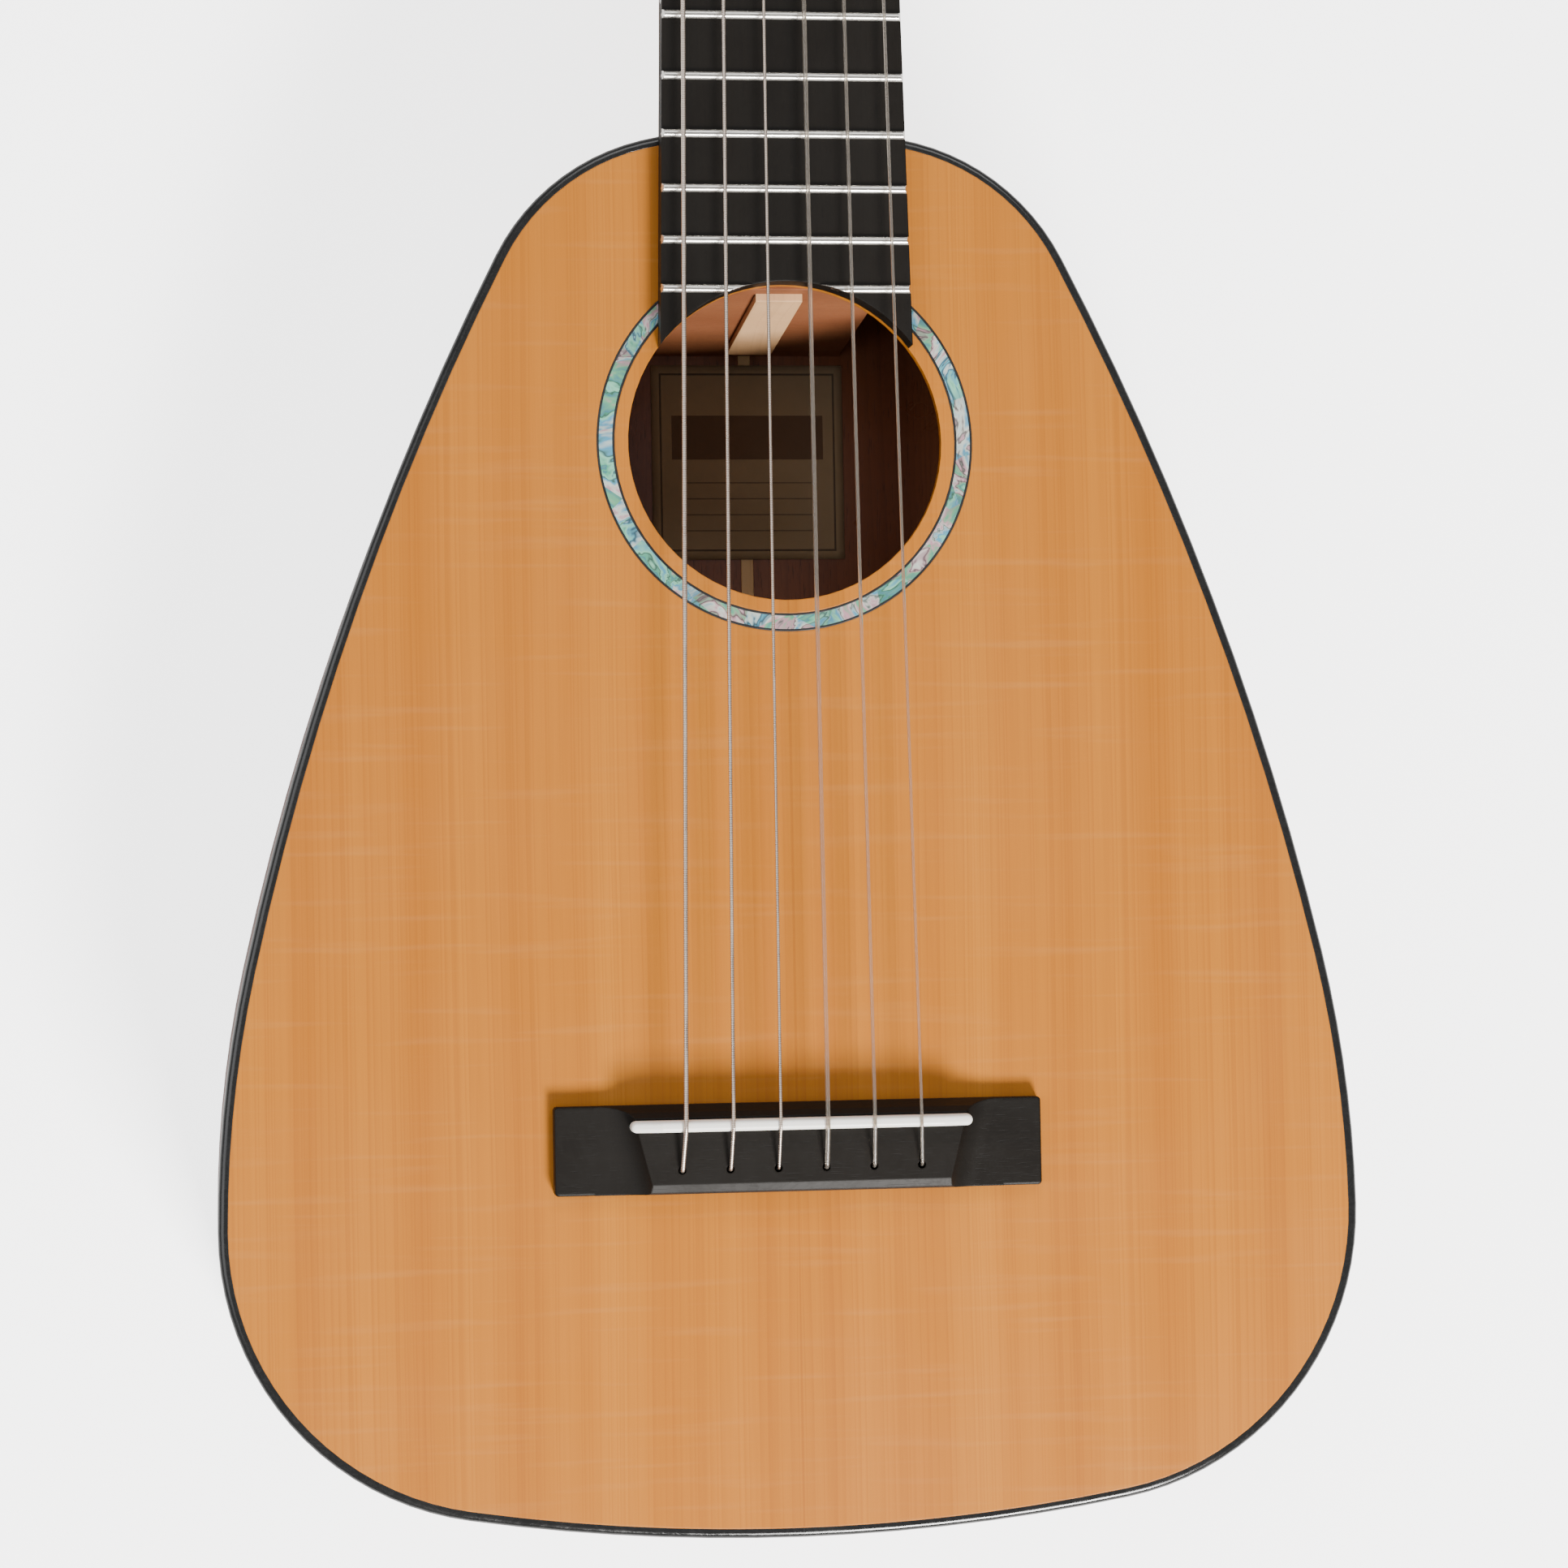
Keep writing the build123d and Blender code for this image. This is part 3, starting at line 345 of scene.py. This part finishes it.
# %% Mahogany, maple, ebony and the inner woods
def timber(
    name, run, pale, deep, pore, gloss, spacing=3.2 * MM, matched=False, pore_share=0.55, coat=0.12, shine=0.4
):
    material, tree, shader, where = start_material(
        name, Coat_Weight=coat, Coat_Roughness=0.22, Specular_IOR_Level=shine
    )
    grain = grain_vector(tree, where, run, matched)
    cut = {"Grain": grain, "Ring Spacing": spacing, "Wander": 3.0 * MM, "Pore Length": 5 * MM}
    figure = use_group(tree, wood_figure, cut)
    touch = use_group(tree, handling, {"Vector": where, "Size": 45 * MM})
    arris = use_group(tree, soft_edge, {"Radius": 0.5 * MM})
    colour = blend_of(tree, figure["Streaks"], pale, deep)
    colour = blend_of(tree, math_of(tree, "MULTIPLY", figure["Rings"], 0.25), colour, pore)
    colour = blend_of(tree, math_of(tree, "MULTIPLY", figure["Pores"], pore_share), colour, pore)
    # ribbon figure: bands that change with the interlocked grain
    ribbon = noise_of(tree, stretched(tree, grain, (110.0, 7.0, 110.0)), detail=2.0)
    colour = blend_of(tree, math_of(tree, "MULTIPLY", ribbon, 0.3), colour, pale)
    lighter = tuple(min(1.0, channel * 1.5) for channel in pale)
    colour = blend_of(tree, math_of(tree, "MULTIPLY", arris["Wear"], 0.28), colour, lighter)
    uneven = math_of(tree, "ADD", touch["Smudge"], math_of(tree, "MULTIPLY", touch["Swirls"], 0.35))
    roughness = spread(tree, uneven, gloss, gloss + 0.16)
    height = math_of(tree, "SUBTRACT", math_of(tree, "MULTIPLY", figure["Fibre"], 0.35), figure["Pores"])
    finish_surface(tree, shader, colour, roughness, height, 0.25, 0.05 * MM, arris["Normal"])
    return material


RED_BROWN = dict(pale=(0.235, 0.082, 0.034), deep=(0.140, 0.042, 0.018), pore=(0.045, 0.014, 0.007))
RIB_BROWN = dict(pale=(0.150, 0.048, 0.019), deep=(0.090, 0.026, 0.011), pore=(0.030, 0.009, 0.005))
NECK_PALE = dict(pale=(0.74, 0.45, 0.23), deep=(0.62, 0.34, 0.16), pore=(0.34, 0.16, 0.07))
BLOCK_RED = dict(pale=(0.24, 0.082, 0.030), deep=(0.18, 0.056, 0.020), pore=(0.08, 0.026, 0.011))
MAPLE = dict(pale=(0.66, 0.44, 0.21), deep=(0.55, 0.34, 0.14), pore=(0.34, 0.19, 0.08))
BLACK_WOOD = dict(
    pale=(0.0085, 0.0065, 0.0048), deep=(0.0048, 0.0038, 0.0028), pore=(0.0025, 0.002, 0.002), shine=0.2
)
PALE_WOOD = dict(pale=(0.60, 0.40, 0.19), deep=(0.50, 0.30, 0.12), pore=(0.36, 0.20, 0.08))
CEDAR = dict(pale=(0.42, 0.23, 0.11), deep=(0.33, 0.16, 0.07), pore=(0.20, 0.09, 0.04))

# %% [markdown]
# ## Polished, moulded and plated finishes
#
# The binding is a black strip bent round the edge and buffed to an even gloss. The buttons
# are moulded, the nut and saddle are bone, and the machines are nickel plate over brass. Each is one
# colour to a casual eye. What tells them apart is how rough they are, how even that roughness is, and
# what happens on the edges: plastic scuffs pale, plate stays bright, bone has faint fibres.


# %% Smooth materials
def moulded(name, colour, rough_low, rough_high, scuff, size=18 * MM, coat=0.0, radius=0.35 * MM):
    material, tree, shader, where = start_material(name, Coat_Weight=coat, Coat_Roughness=0.08)
    touch = use_group(tree, handling, {"Vector": where, "Size": size})
    arris = use_group(tree, soft_edge, {"Radius": radius})
    worn = math_of(tree, "MULTIPLY", arris["Wear"], math_of(tree, "ADD", touch["Smudge"], 0.3))
    lighter = blend_of(tree, math_of(tree, "MULTIPLY", worn, 0.5), colour, scuff)
    tone = blend_of(tree, math_of(tree, "MULTIPLY", touch["Swirls"], 0.08), lighter, scuff)
    uneven = math_of(tree, "ADD", touch["Smudge"], math_of(tree, "MULTIPLY", touch["Swirls"], 0.5))
    roughness = spread(tree, uneven, rough_low, rough_high)
    finish_surface(tree, shader, tone, roughness, touch["Swirls"], 0.05, 0.02 * MM, arris["Normal"])
    return material


def bone():
    material, tree, shader, where = start_material("bone", Subsurface_Weight=0.12, Subsurface_Scale=1.0 * MM)
    shader.inputs["Subsurface Radius"].default_value = (1.0, 0.7, 0.45)
    fibres = noise_of(tree, stretched(tree, where, (70.0, 1800.0, 1800.0)), detail=3.0)
    flecks = ramp_of(tree, fibres, [(0.56, 0.0), (0.70, 1.0)])
    touch = use_group(tree, handling, {"Vector": where, "Size": 9 * MM})
    arris = use_group(tree, soft_edge, {"Radius": 0.3 * MM})
    colour = blend_of(tree, math_of(tree, "MULTIPLY", flecks, 0.35), (0.95, 0.93, 0.88), (0.82, 0.76, 0.64))
    colour = blend_of(tree, math_of(tree, "MULTIPLY", touch["Smudge"], 0.12), colour, (0.74, 0.66, 0.52))
    roughness = spread(tree, touch["Smudge"], 0.26, 0.42)
    finish_surface(tree, shader, colour, roughness, flecks, 0.06, 0.02 * MM, arris["Normal"])
    return material


def metal(name, colour, shade, rough_low, rough_high, brushed=None):
    """Plated or bare metal; brushed stretches its fine lines along one axis."""
    material, tree, shader, where = start_material(name, Metallic=1.0)
    touch = use_group(tree, handling, {"Vector": where, "Size": 6 * MM})
    arris = use_group(tree, soft_edge, {"Radius": 0.2 * MM})
    lines = noise_of(tree, stretched(tree, where, brushed or (2600.0, 2600.0, 2600.0)), detail=3.0)
    tone = blend_of(tree, math_of(tree, "MULTIPLY", touch["Smudge"], 0.4), colour, shade)
    tone = blend_of(tree, math_of(tree, "MULTIPLY", lines, 0.16), tone, shade)
    smudged = math_of(tree, "MULTIPLY", touch["Smudge"], 0.6)
    uneven = math_of(tree, "ADD", smudged, math_of(tree, "MULTIPLY", lines, 0.5))
    roughness = spread(tree, uneven, rough_low, rough_high)
    finish_surface(tree, shader, tone, roughness, lines, 0.10, 0.01 * MM, arris["Normal"])
    return material


# %% [markdown]
# ## The abalone ring
#
# The ring is laid from short slips of shell. Real shell splits light in thin layers, so each slip
# flashes its own green, blue, pink or silver, crossed by dark wavy growth lines. Two sheets of noise do
# it: a cell pattern gives each slip its own starting hue, and a strongly warped noise runs that hue
# through the ramp of shell colours, with narrow dark curls where the warped noise crosses its middle.


# %% Shell
def abalone():
    material, tree, shader, where = start_material("abalone shell", Coat_Weight=0.35, Coat_Roughness=0.08)
    slips = place(tree, "ShaderNodeTexVoronoi", {"Vector": where, "Scale": 90.0, "Randomness": 1.0})
    start = place(tree, "ShaderNodeSeparateColor", {"Color": slips.outputs["Color"]}).outputs[0]
    waves = noise_of(tree, where, scale=75.0, detail=3.0, roughness=0.5, distortion=2.4)
    own_hue = math_of(tree, "MULTIPLY", start, 0.7)
    hue = math_of(tree, "FRACT", math_of(tree, "ADD", math_of(tree, "MULTIPLY", waves, 2.1), own_hue))
    stops = [
        (0.00, (0.06, 0.30, 0.20)),
        (0.18, (0.24, 0.58, 0.40)),
        (0.34, (0.08, 0.30, 0.46)),
        (0.50, (0.60, 0.66, 0.58)),
        (0.64, (0.56, 0.30, 0.36)),
        (0.80, (0.16, 0.46, 0.26)),
        (1.00, (0.08, 0.24, 0.30)),
    ]
    colour = ramp_of(tree, hue, stops)
    curls = ramp_of(tree, waves, [(0.455, 0.0), (0.485, 1.0), (0.515, 0.0)])
    colour = blend_of(tree, math_of(tree, "MULTIPLY", curls, 0.85), colour, (0.025, 0.035, 0.032))
    seams = ramp_of(tree, slips.outputs["Distance"], [(0.55, 0.0), (0.85, 1.0)])
    colour = blend_of(tree, math_of(tree, "MULTIPLY", seams, 0.35), colour, (0.05, 0.06, 0.06))
    roughness = spread(tree, waves, 0.12, 0.34)
    finish_surface(tree, shader, colour, roughness, waves, 0.10, 0.05 * MM)
    shine = spread(tree, hue, 0.10, 0.35)
    tree.links.new(shine, shader.inputs["Metallic"])
    return material


# %% [markdown]
# ## Strings
#
# The three bass strings are silvered wire wound round a core, and each turn of the winding is a ridge.
# The ridges are far finer than a ruler's marks, so they are relief in the shader: a wave whose length
# along the string is the wire's own thickness. The three treble strings are clear nylon line, which
# passes some light and takes a thin highlight.


# %% Winding and nylon
def wound_wire():
    material, tree, shader, where = start_material("silvered winding", Metallic=1.0)
    along = place(tree, "ShaderNodeSeparateXYZ", {"Vector": where}).outputs["Y"]
    turns = math_of(tree, "SINE", math_of(tree, "MULTIPLY", along, 2 * math.pi / (0.42 * MM)))
    touch = use_group(tree, handling, {"Vector": where, "Size": 12 * MM})
    ridge_relief_and_shade = spread(tree, turns, 0.0, 1.0)
    ridge_relief_and_shade.node.inputs[1].default_value = -1.0
    # painted shade: the colour darkens in the grooves between the turns, with a painted highlight on their
    # crests
    colour = blend_of(tree, ridge_relief_and_shade, (0.40, 0.30, 0.23), (0.84, 0.75, 0.68))
    colour = blend_of(tree, math_of(tree, "MULTIPLY", touch["Smudge"], 0.3), colour, (0.56, 0.47, 0.37))
    roughness = spread(tree, touch["Smudge"], 0.24, 0.40)
    finish_surface(tree, shader, colour, roughness, ridge_relief_and_shade, 0.6, 0.05 * MM)
    return material


def nylon_line():
    material, tree, shader, where = start_material("clear nylon", Transmission_Weight=0.92, IOR=1.53)
    cloud = noise_of(tree, stretched(tree, where, (300.0, 40.0, 300.0)), detail=2.0)
    colour = blend_of(tree, cloud, (0.80, 0.72, 0.62), (0.66, 0.58, 0.49))
    roughness = spread(tree, cloud, 0.14, 0.28)
    finish_surface(tree, shader, colour, roughness, cloud, 0.05, 0.02 * MM)
    return material


# %% [markdown]
# ## Dressing the parts
#
# The finish of each part goes into its material slot. Naming each part one by one keeps the list readable
# beside the parts themselves. The ribs differ from the back in their stain and in which way their grain runs.

# %% Assign materials
BLACK_CUT = dict(spacing=1.8 * MM, pore_share=0.35, coat=0.0, **BLACK_WOOD)
ebony = timber("ebony", "along_y", gloss=0.36, **BLACK_CUT)
ebony_bridge = timber("ebony bridge", "along_x", gloss=0.38, **BLACK_CUT)
back_wood = timber("mahogany back", "along_y", gloss=0.26, matched=True, **RED_BROWN)
rib_wood = timber("mahogany ribs", "round_the_rim", gloss=0.30, shine=0.3, **RIB_BROWN)
neck_wood = timber("neck wood", "along_y", gloss=0.34, pore_share=0.35, **NECK_PALE)
block_wood = timber("block wood", "along_x", gloss=0.55, coat=0.0, **BLOCK_RED)
maple = timber("maple", "along_y", gloss=0.32, pore_share=0.15, **MAPLE)
brace_wood = timber("brace wood", "along_x", gloss=0.55, pore_share=0.2, coat=0.0, **PALE_WOOD)
lining_wood = timber("lining wood", "round_the_rim", gloss=0.55, pore_share=0.3, coat=0.0, **CEDAR)
black_edge = moulded("black binding", (0.007, 0.007, 0.007), 0.10, 0.24, (0.08, 0.08, 0.08), coat=0.1)
black_line = moulded("black line", (0.010, 0.010, 0.010), 0.30, 0.45, (0.06, 0.06, 0.06))
button_black = moulded("button black", (0.016, 0.015, 0.014), 0.16, 0.34, (0.12, 0.11, 0.10), size=8 * MM)
bead_ivory = moulded("bead ivory", (0.74, 0.71, 0.62), 0.22, 0.40, (0.90, 0.88, 0.82), size=4 * MM)
bone_white = bone()
nickel = metal("nickel plate", (0.62, 0.59, 0.54), (0.40, 0.36, 0.30), 0.14, 0.36)
fret_lines = (60.0, 3000.0, 3000.0)
fret_nickel = metal("fret wire", (0.74, 0.72, 0.68), (0.50, 0.47, 0.42), 0.16, 0.34, brushed=fret_lines)
wheel_brass = metal("wheel brass", (0.72, 0.50, 0.20), (0.46, 0.29, 0.10), 0.18, 0.42)
shell = abalone()
winding = wound_wire()
nylon = nylon_line()
spruce = spruce_top()

FINISHES = {
    "soundboard": spruce,
    "back_plates": back_wood,
    "back_inlay_strip": maple,
    "rib_bass": rib_wood,
    "rib_treble": rib_wood,
    "tail_wedge": ebony,
    "neck_block": block_wood,
    "tail_block": block_wood,
    "neck": neck_wood,
    "linings": lining_wood,
    "top_braces": brace_wood,
    "back_braces": brace_wood,
    "bridge_plate": maple,
    "top_binding": black_edge,
    "back_binding": black_edge,
    "rosette_shell": shell,
    "rosette_lines": black_line,
    "bridge": ebony_bridge,
    "fretboard": ebony,
    "headplate": ebony,
    "heel_cap": ebony,
    "saddle": bone_white,
    "nut": bone_white,
    "frets": fret_nickel,
    "wound_strings": winding,
    "plain_strings": nylon,
    "string_beads": bead_ivory,
    "tuner_plates": nickel,
    "tuner_bushings": nickel,
    "tuner_screws": nickel,
}
for number in range(1, 7):
    FINISHES[f"worm_{number}"] = nickel
    FINISHES[f"post_{number}"] = nickel
    FINISHES[f"worm_wheel_{number}"] = wheel_brass
    FINISHES[f"button_{number}"] = button_black
    FINISHES[f"string_coil_{number}"] = nylon if number <= 3 else winding

for name, piece in nodes.items():
    for index in range(len(piece.material_slots)):
        piece.material_slots[index].material = FINISHES[name]
print("dressed", len(nodes), "parts in", len(set(FINISHES.values())), "finishes")

# %% [markdown]
# ## The paper label
#
# Through the soundhole one sees a label pasted on the inside of the back. It is a sheet of browned paper
# that has cockled a little with the glue. A flat plane would look like a sticker, so the sheet is a grid
# of points, lifted by a slow wave and turned up slightly at its corners. It carries only a printed frame,
# a tinted panel and ruled lines: no words.

# %% Label geometry
LABEL_LEFT, LABEL_RIGHT = -23.5 * MM, 24.6 * MM
LABEL_LOW, LABEL_HIGH = 134.8 * MM, 183.4 * MM
PAPER_THICK = 0.15 * MM
COLUMNS, ROWS = 24, 24
back_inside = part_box("back_plates")[1][2]


def label_height(u, v):
    """Cockle of the paper at a place on the sheet, u and v from 0 to 1."""
    wave = 0.06 * MM * (1 + math.sin(5 * u + 2 * v) * math.cos(4 * v - u))
    corner = max(abs(u - 0.5), abs(v - 0.5)) * 2
    return wave + 0.10 * MM * corner**8


def label_mesh():
    made = bmesh.new()
    layers = []
    for lift in (PAPER_THICK, 0.0):
        sheet = []
        for row in range(ROWS + 1):
            v = row / ROWS
            line = []
            for column in range(COLUMNS + 1):
                u = column / COLUMNS
                x = LABEL_LEFT + (LABEL_RIGHT - LABEL_LEFT) * u
                y = LABEL_LOW + (LABEL_HIGH - LABEL_LOW) * v
                z = back_inside + 0.02 * MM + label_height(u, v) * (lift > 0) + lift
                line.append(made.verts.new((x, y, z)))
            sheet.append(line)
        layers.append(sheet)
    top, under = layers
    for row in range(ROWS):
        for column in range(COLUMNS):
            beside, above = column + 1, row + 1
            made.faces.new([top[row][column], top[row][beside], top[above][beside], top[above][column]])
            made.faces.new([under[row][column], under[above][column], under[above][beside], under[row][beside]])
    rim = [(0, c) for c in range(COLUMNS)] + [(r, COLUMNS) for r in range(ROWS)]
    rim += [(ROWS, c) for c in range(COLUMNS, 0, -1)] + [(r, 0) for r in range(ROWS, 0, -1)]
    for (r0, c0), (r1, c1) in zip(rim, rim[1:] + rim[:1]):
        made.faces.new([under[r0][c0], under[r1][c1], top[r1][c1], top[r0][c0]])
    bmesh.ops.recalc_face_normals(made, faces=made.faces)
    mesh = bpy.data.meshes.new("label_sheet")
    made.to_mesh(mesh)
    made.free()
    for face in mesh.polygons:
        face.use_smooth = True
    return mesh


label = bpy.data.objects.new("label_sheet", label_mesh())
bpy.context.collection.objects.link(label)
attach(label, "root")
print("label", round((LABEL_RIGHT - LABEL_LEFT) / MM, 1), "by", round((LABEL_HIGH - LABEL_LOW) / MM, 1), "mm")

# %% [markdown]
# The print on the label is drawn by distance: each bar is where a coordinate lies between two values,
# so it stays sharp at any size and needs no picture.


# %% Label material
def band_of(tree, value, low, high):
    """1 where the value lies between low and high."""
    above = math_of(tree, "GREATER_THAN", value, low)
    below = math_of(tree, "LESS_THAN", value, high)
    return math_of(tree, "MULTIPLY", above, below)


def rectangle_of(tree, x, y, left, right, low, high):
    return math_of(tree, "MULTIPLY", band_of(tree, x, left, right), band_of(tree, y, low, high))


def framed(tree, x, y, inset):
    """1 inside the label's edge moved inwards by inset."""
    left, right = LABEL_LEFT + inset, LABEL_RIGHT - inset
    return rectangle_of(tree, x, y, left, right, LABEL_LOW + inset, LABEL_HIGH - inset)


def label_paper():
    material, tree, shader, where = start_material("label paper")
    axes = place(tree, "ShaderNodeSeparateXYZ", {"Vector": where}).outputs
    x, y = axes["X"], axes["Y"]
    fibre = noise_of(tree, where, scale=900.0, detail=5.0, roughness=0.7)
    age = noise_of(tree, where, scale=55.0, detail=3.0)
    colour = blend_of(tree, age, (0.34, 0.25, 0.15), (0.27, 0.19, 0.10))
    colour = blend_of(tree, math_of(tree, "MULTIPLY", fibre, 0.2), colour, (0.30, 0.23, 0.13))
    ink = (0.05, 0.03, 0.018)
    inset = 2.0 * MM
    line = 0.5 * MM
    outer = framed(tree, x, y, inset)
    inner = framed(tree, x, y, inset + line)
    border = math_of(tree, "SUBTRACT", outer, inner)
    colour = blend_of(tree, math_of(tree, "MULTIPLY", border, 0.8), colour, ink)
    left, right = LABEL_LEFT + 5 * MM, LABEL_RIGHT - 5 * MM
    panel = rectangle_of(tree, x, y, left, right, LABEL_LOW + 25 * MM, LABEL_LOW + 36 * MM)
    colour = blend_of(tree, math_of(tree, "MULTIPLY", panel, 0.85), colour, (0.10, 0.05, 0.025))
    for number in range(4):
        low = LABEL_LOW + (7 + 4 * number) * MM
        rule = rectangle_of(tree, x, y, LABEL_LEFT + 8 * MM, LABEL_RIGHT - 8 * MM, low, low + 0.35 * MM)
        colour = blend_of(tree, math_of(tree, "MULTIPLY", rule, 0.55), colour, ink)
    roughness = spread(tree, fibre, 0.75, 0.92)
    finish_surface(tree, shader, colour, roughness, fibre, 0.2, 0.05 * MM)
    return material


label.data.materials.append(label_paper())

# %% [markdown]
# ## Side dots
#
# A player looks down at the edge of the fretboard, not at its face, so small pale dots are let into the
# bass side at the fifth, seventh and twelfth places. Each is a turned pin sanded flush: a low dome with
# a rounded edge, set a hair proud.

# %% Side dots
STRING_LENGTH = 508 * MM
DOT_RADIUS = 1.0 * MM
DOT_PROUD = 0.12 * MM
board_low, board_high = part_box("fretboard")
nut_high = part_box("nut")[1]
END_Y = STRING_LENGTH * 2 ** (-17 / 12)
END_HALF = 58.4 / 2 * MM


def fret_place(number):
    return STRING_LENGTH * 2 ** (-number / 12)


def board_half(y):
    """Half the fretboard's width, from its last fret to the nut."""
    share = (y - END_Y) / (STRING_LENGTH - END_Y)
    return END_HALF + (nut_high[0] - END_HALF) * share


def dot_profile(steps=6):
    """Radius and height of the dome, from its rim to its middle."""
    points = [(DOT_RADIUS, -0.5 * MM)]
    for step in range(steps + 1):
        angle = math.pi / 2 * step / steps
        points.append((DOT_RADIUS * math.cos(angle) ** 0.5, DOT_PROUD * math.sin(angle)))
    return points


def side_dot(name, y, z):
    made = bmesh.new()
    around = 24
    rows = []
    for radius, height in dot_profile()[:-1]:
        turn = [2 * math.pi * k / around for k in range(around)]
        rows.append([made.verts.new((-height, radius * math.cos(a), radius * math.sin(a))) for a in turn])
    crown = made.verts.new((-DOT_PROUD, 0, 0))
    for lower, upper in zip(rows, rows[1:]):
        for k in range(around):
            made.faces.new([lower[k], lower[(k + 1) % around], upper[(k + 1) % around], upper[k]])
    for k in range(around):
        made.faces.new([rows[-1][k], rows[-1][(k + 1) % around], crown])
    made.faces.new(list(reversed(rows[0])))
    bmesh.ops.recalc_face_normals(made, faces=made.faces)
    bmesh.ops.translate(made, verts=made.verts, vec=(-board_half(y), y, z))
    mesh = bpy.data.meshes.new(name)
    made.to_mesh(mesh)
    made.free()
    for face in mesh.polygons:
        face.use_smooth = True
    mesh.materials.append(bone_white)
    piece = bpy.data.objects.new(name, mesh)
    bpy.context.collection.objects.link(piece)
    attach(piece, "root")
    return piece


dot_z = (board_low[2] + board_high[2]) / 2
for fret in (5, 7, 12):
    middle = (fret_place(fret - 1) + fret_place(fret)) / 2
    offsets = (-3.5 * MM, 3.5 * MM) if fret == 12 else (0.0,)
    for index, offset in enumerate(offsets):
        side_dot(f"side_dot_{fret}_{index + 1}", middle + offset, dot_z)
print("side dots set at z", round(dot_z * 1000, 2), "mm")

# %% [markdown]
# ## Floor, light and camera
#
# The guitar lies on its back on a plain pale sheet, under studio soft boxes. The main
# box stands beyond the tail on the treble side, so the bridge throws its soft shadow towards the
# soundhole. A weaker one opens the other side, and a long one over the neck keeps the metal bright.

# %% Floor
floor_mesh = bpy.data.meshes.new("floor")
reach = 6.0
corners = [(-reach, -reach, 0), (reach, -reach, 0), (reach, reach, 0), (-reach, reach, 0)]
floor_mesh.from_pydata(corners, [], [(0, 1, 2, 3)])
floor = bpy.data.objects.new("floor", floor_mesh)
bpy.context.collection.objects.link(floor)
floor.location.z = frame_box[0][2] - 0.2 * MM
paper, tree, shader, where = start_material("studio paper")
mottle = noise_of(tree, where, scale=3.0, detail=3.0)
paper_tone = blend_of(tree, mottle, (0.90, 0.90, 0.90), (0.86, 0.86, 0.865))
finish_surface(tree, shader, paper_tone, spread(tree, mottle, 0.75, 0.9))
shader.inputs["Emission Color"].default_value = (1.0, 1.0, 1.0, 1.0)
# the sheet shines white to the eye, and throws little of that light back at the ribs
to_the_eye = tree.nodes.new("ShaderNodeLightPath").outputs["Is Camera Ray"]
tree.links.new(spread(tree, to_the_eye, 0.15, 3.0), shader.inputs["Emission Strength"])
floor.data.materials.append(paper)


# %% Lights
def soft_box(name, place_at, aim_at, size, watts, tint=(1.0, 1.0, 1.0)):
    light = bpy.data.lights.new(name, "AREA")
    light.shape = "RECTANGLE"
    light.size, light.size_y = size
    light.energy = watts
    light.color = tint
    lamp = bpy.data.objects.new(name, light)
    lamp.location = place_at
    lamp.rotation_euler = (Vector(aim_at) - Vector(place_at)).to_track_quat("-Z", "Y").to_euler()
    bpy.context.collection.objects.link(lamp)
    return lamp


body_middle = (0.0, 0.06, 0.07)
soft_box("key_box", (0.45, -1.25, 1.15), body_middle, (0.50, 0.50), 84.0, (1.0, 0.98, 0.95))
soft_box("fill_box", (-1.3, 0.2, 1.5), body_middle, (1.4, 1.4), 13.0, (0.97, 0.98, 1.0))
soft_box("neck_box", (0.2, 1.4, 1.5), (0.0, 0.45, 0.08), (1.6, 0.7), 12.0)
world = bpy.data.worlds.new("room")
world.use_nodes = True
world.node_tree.nodes["Background"].inputs["Color"].default_value = (1.0, 1.0, 1.0, 1.0)
world.node_tree.nodes["Background"].inputs["Strength"].default_value = 0.42
bpy.context.scene.world = world

# %% Camera
CAMERA_AT = (-0.13265, 0.04089, 1.00457)
TIPPED, TURNED_ASIDE, ROLLED = 0.037587, -0.139672, -0.012190
camera_data = bpy.data.cameras.new("camera")
camera_data.lens = 93.18
camera_data.sensor_width = 36.0
camera = bpy.data.objects.new("camera", camera_data)
bpy.context.collection.objects.link(camera)
sideways = Matrix.Rotation(TURNED_ASIDE, 4, "Y") @ Matrix.Rotation(ROLLED, 4, "Z")
aim = Matrix.Rotation(TIPPED, 4, "X") @ sideways
camera.matrix_world = Matrix.Translation(CAMERA_AT) @ aim
bpy.context.scene.camera = camera
print("camera at", CAMERA_AT)
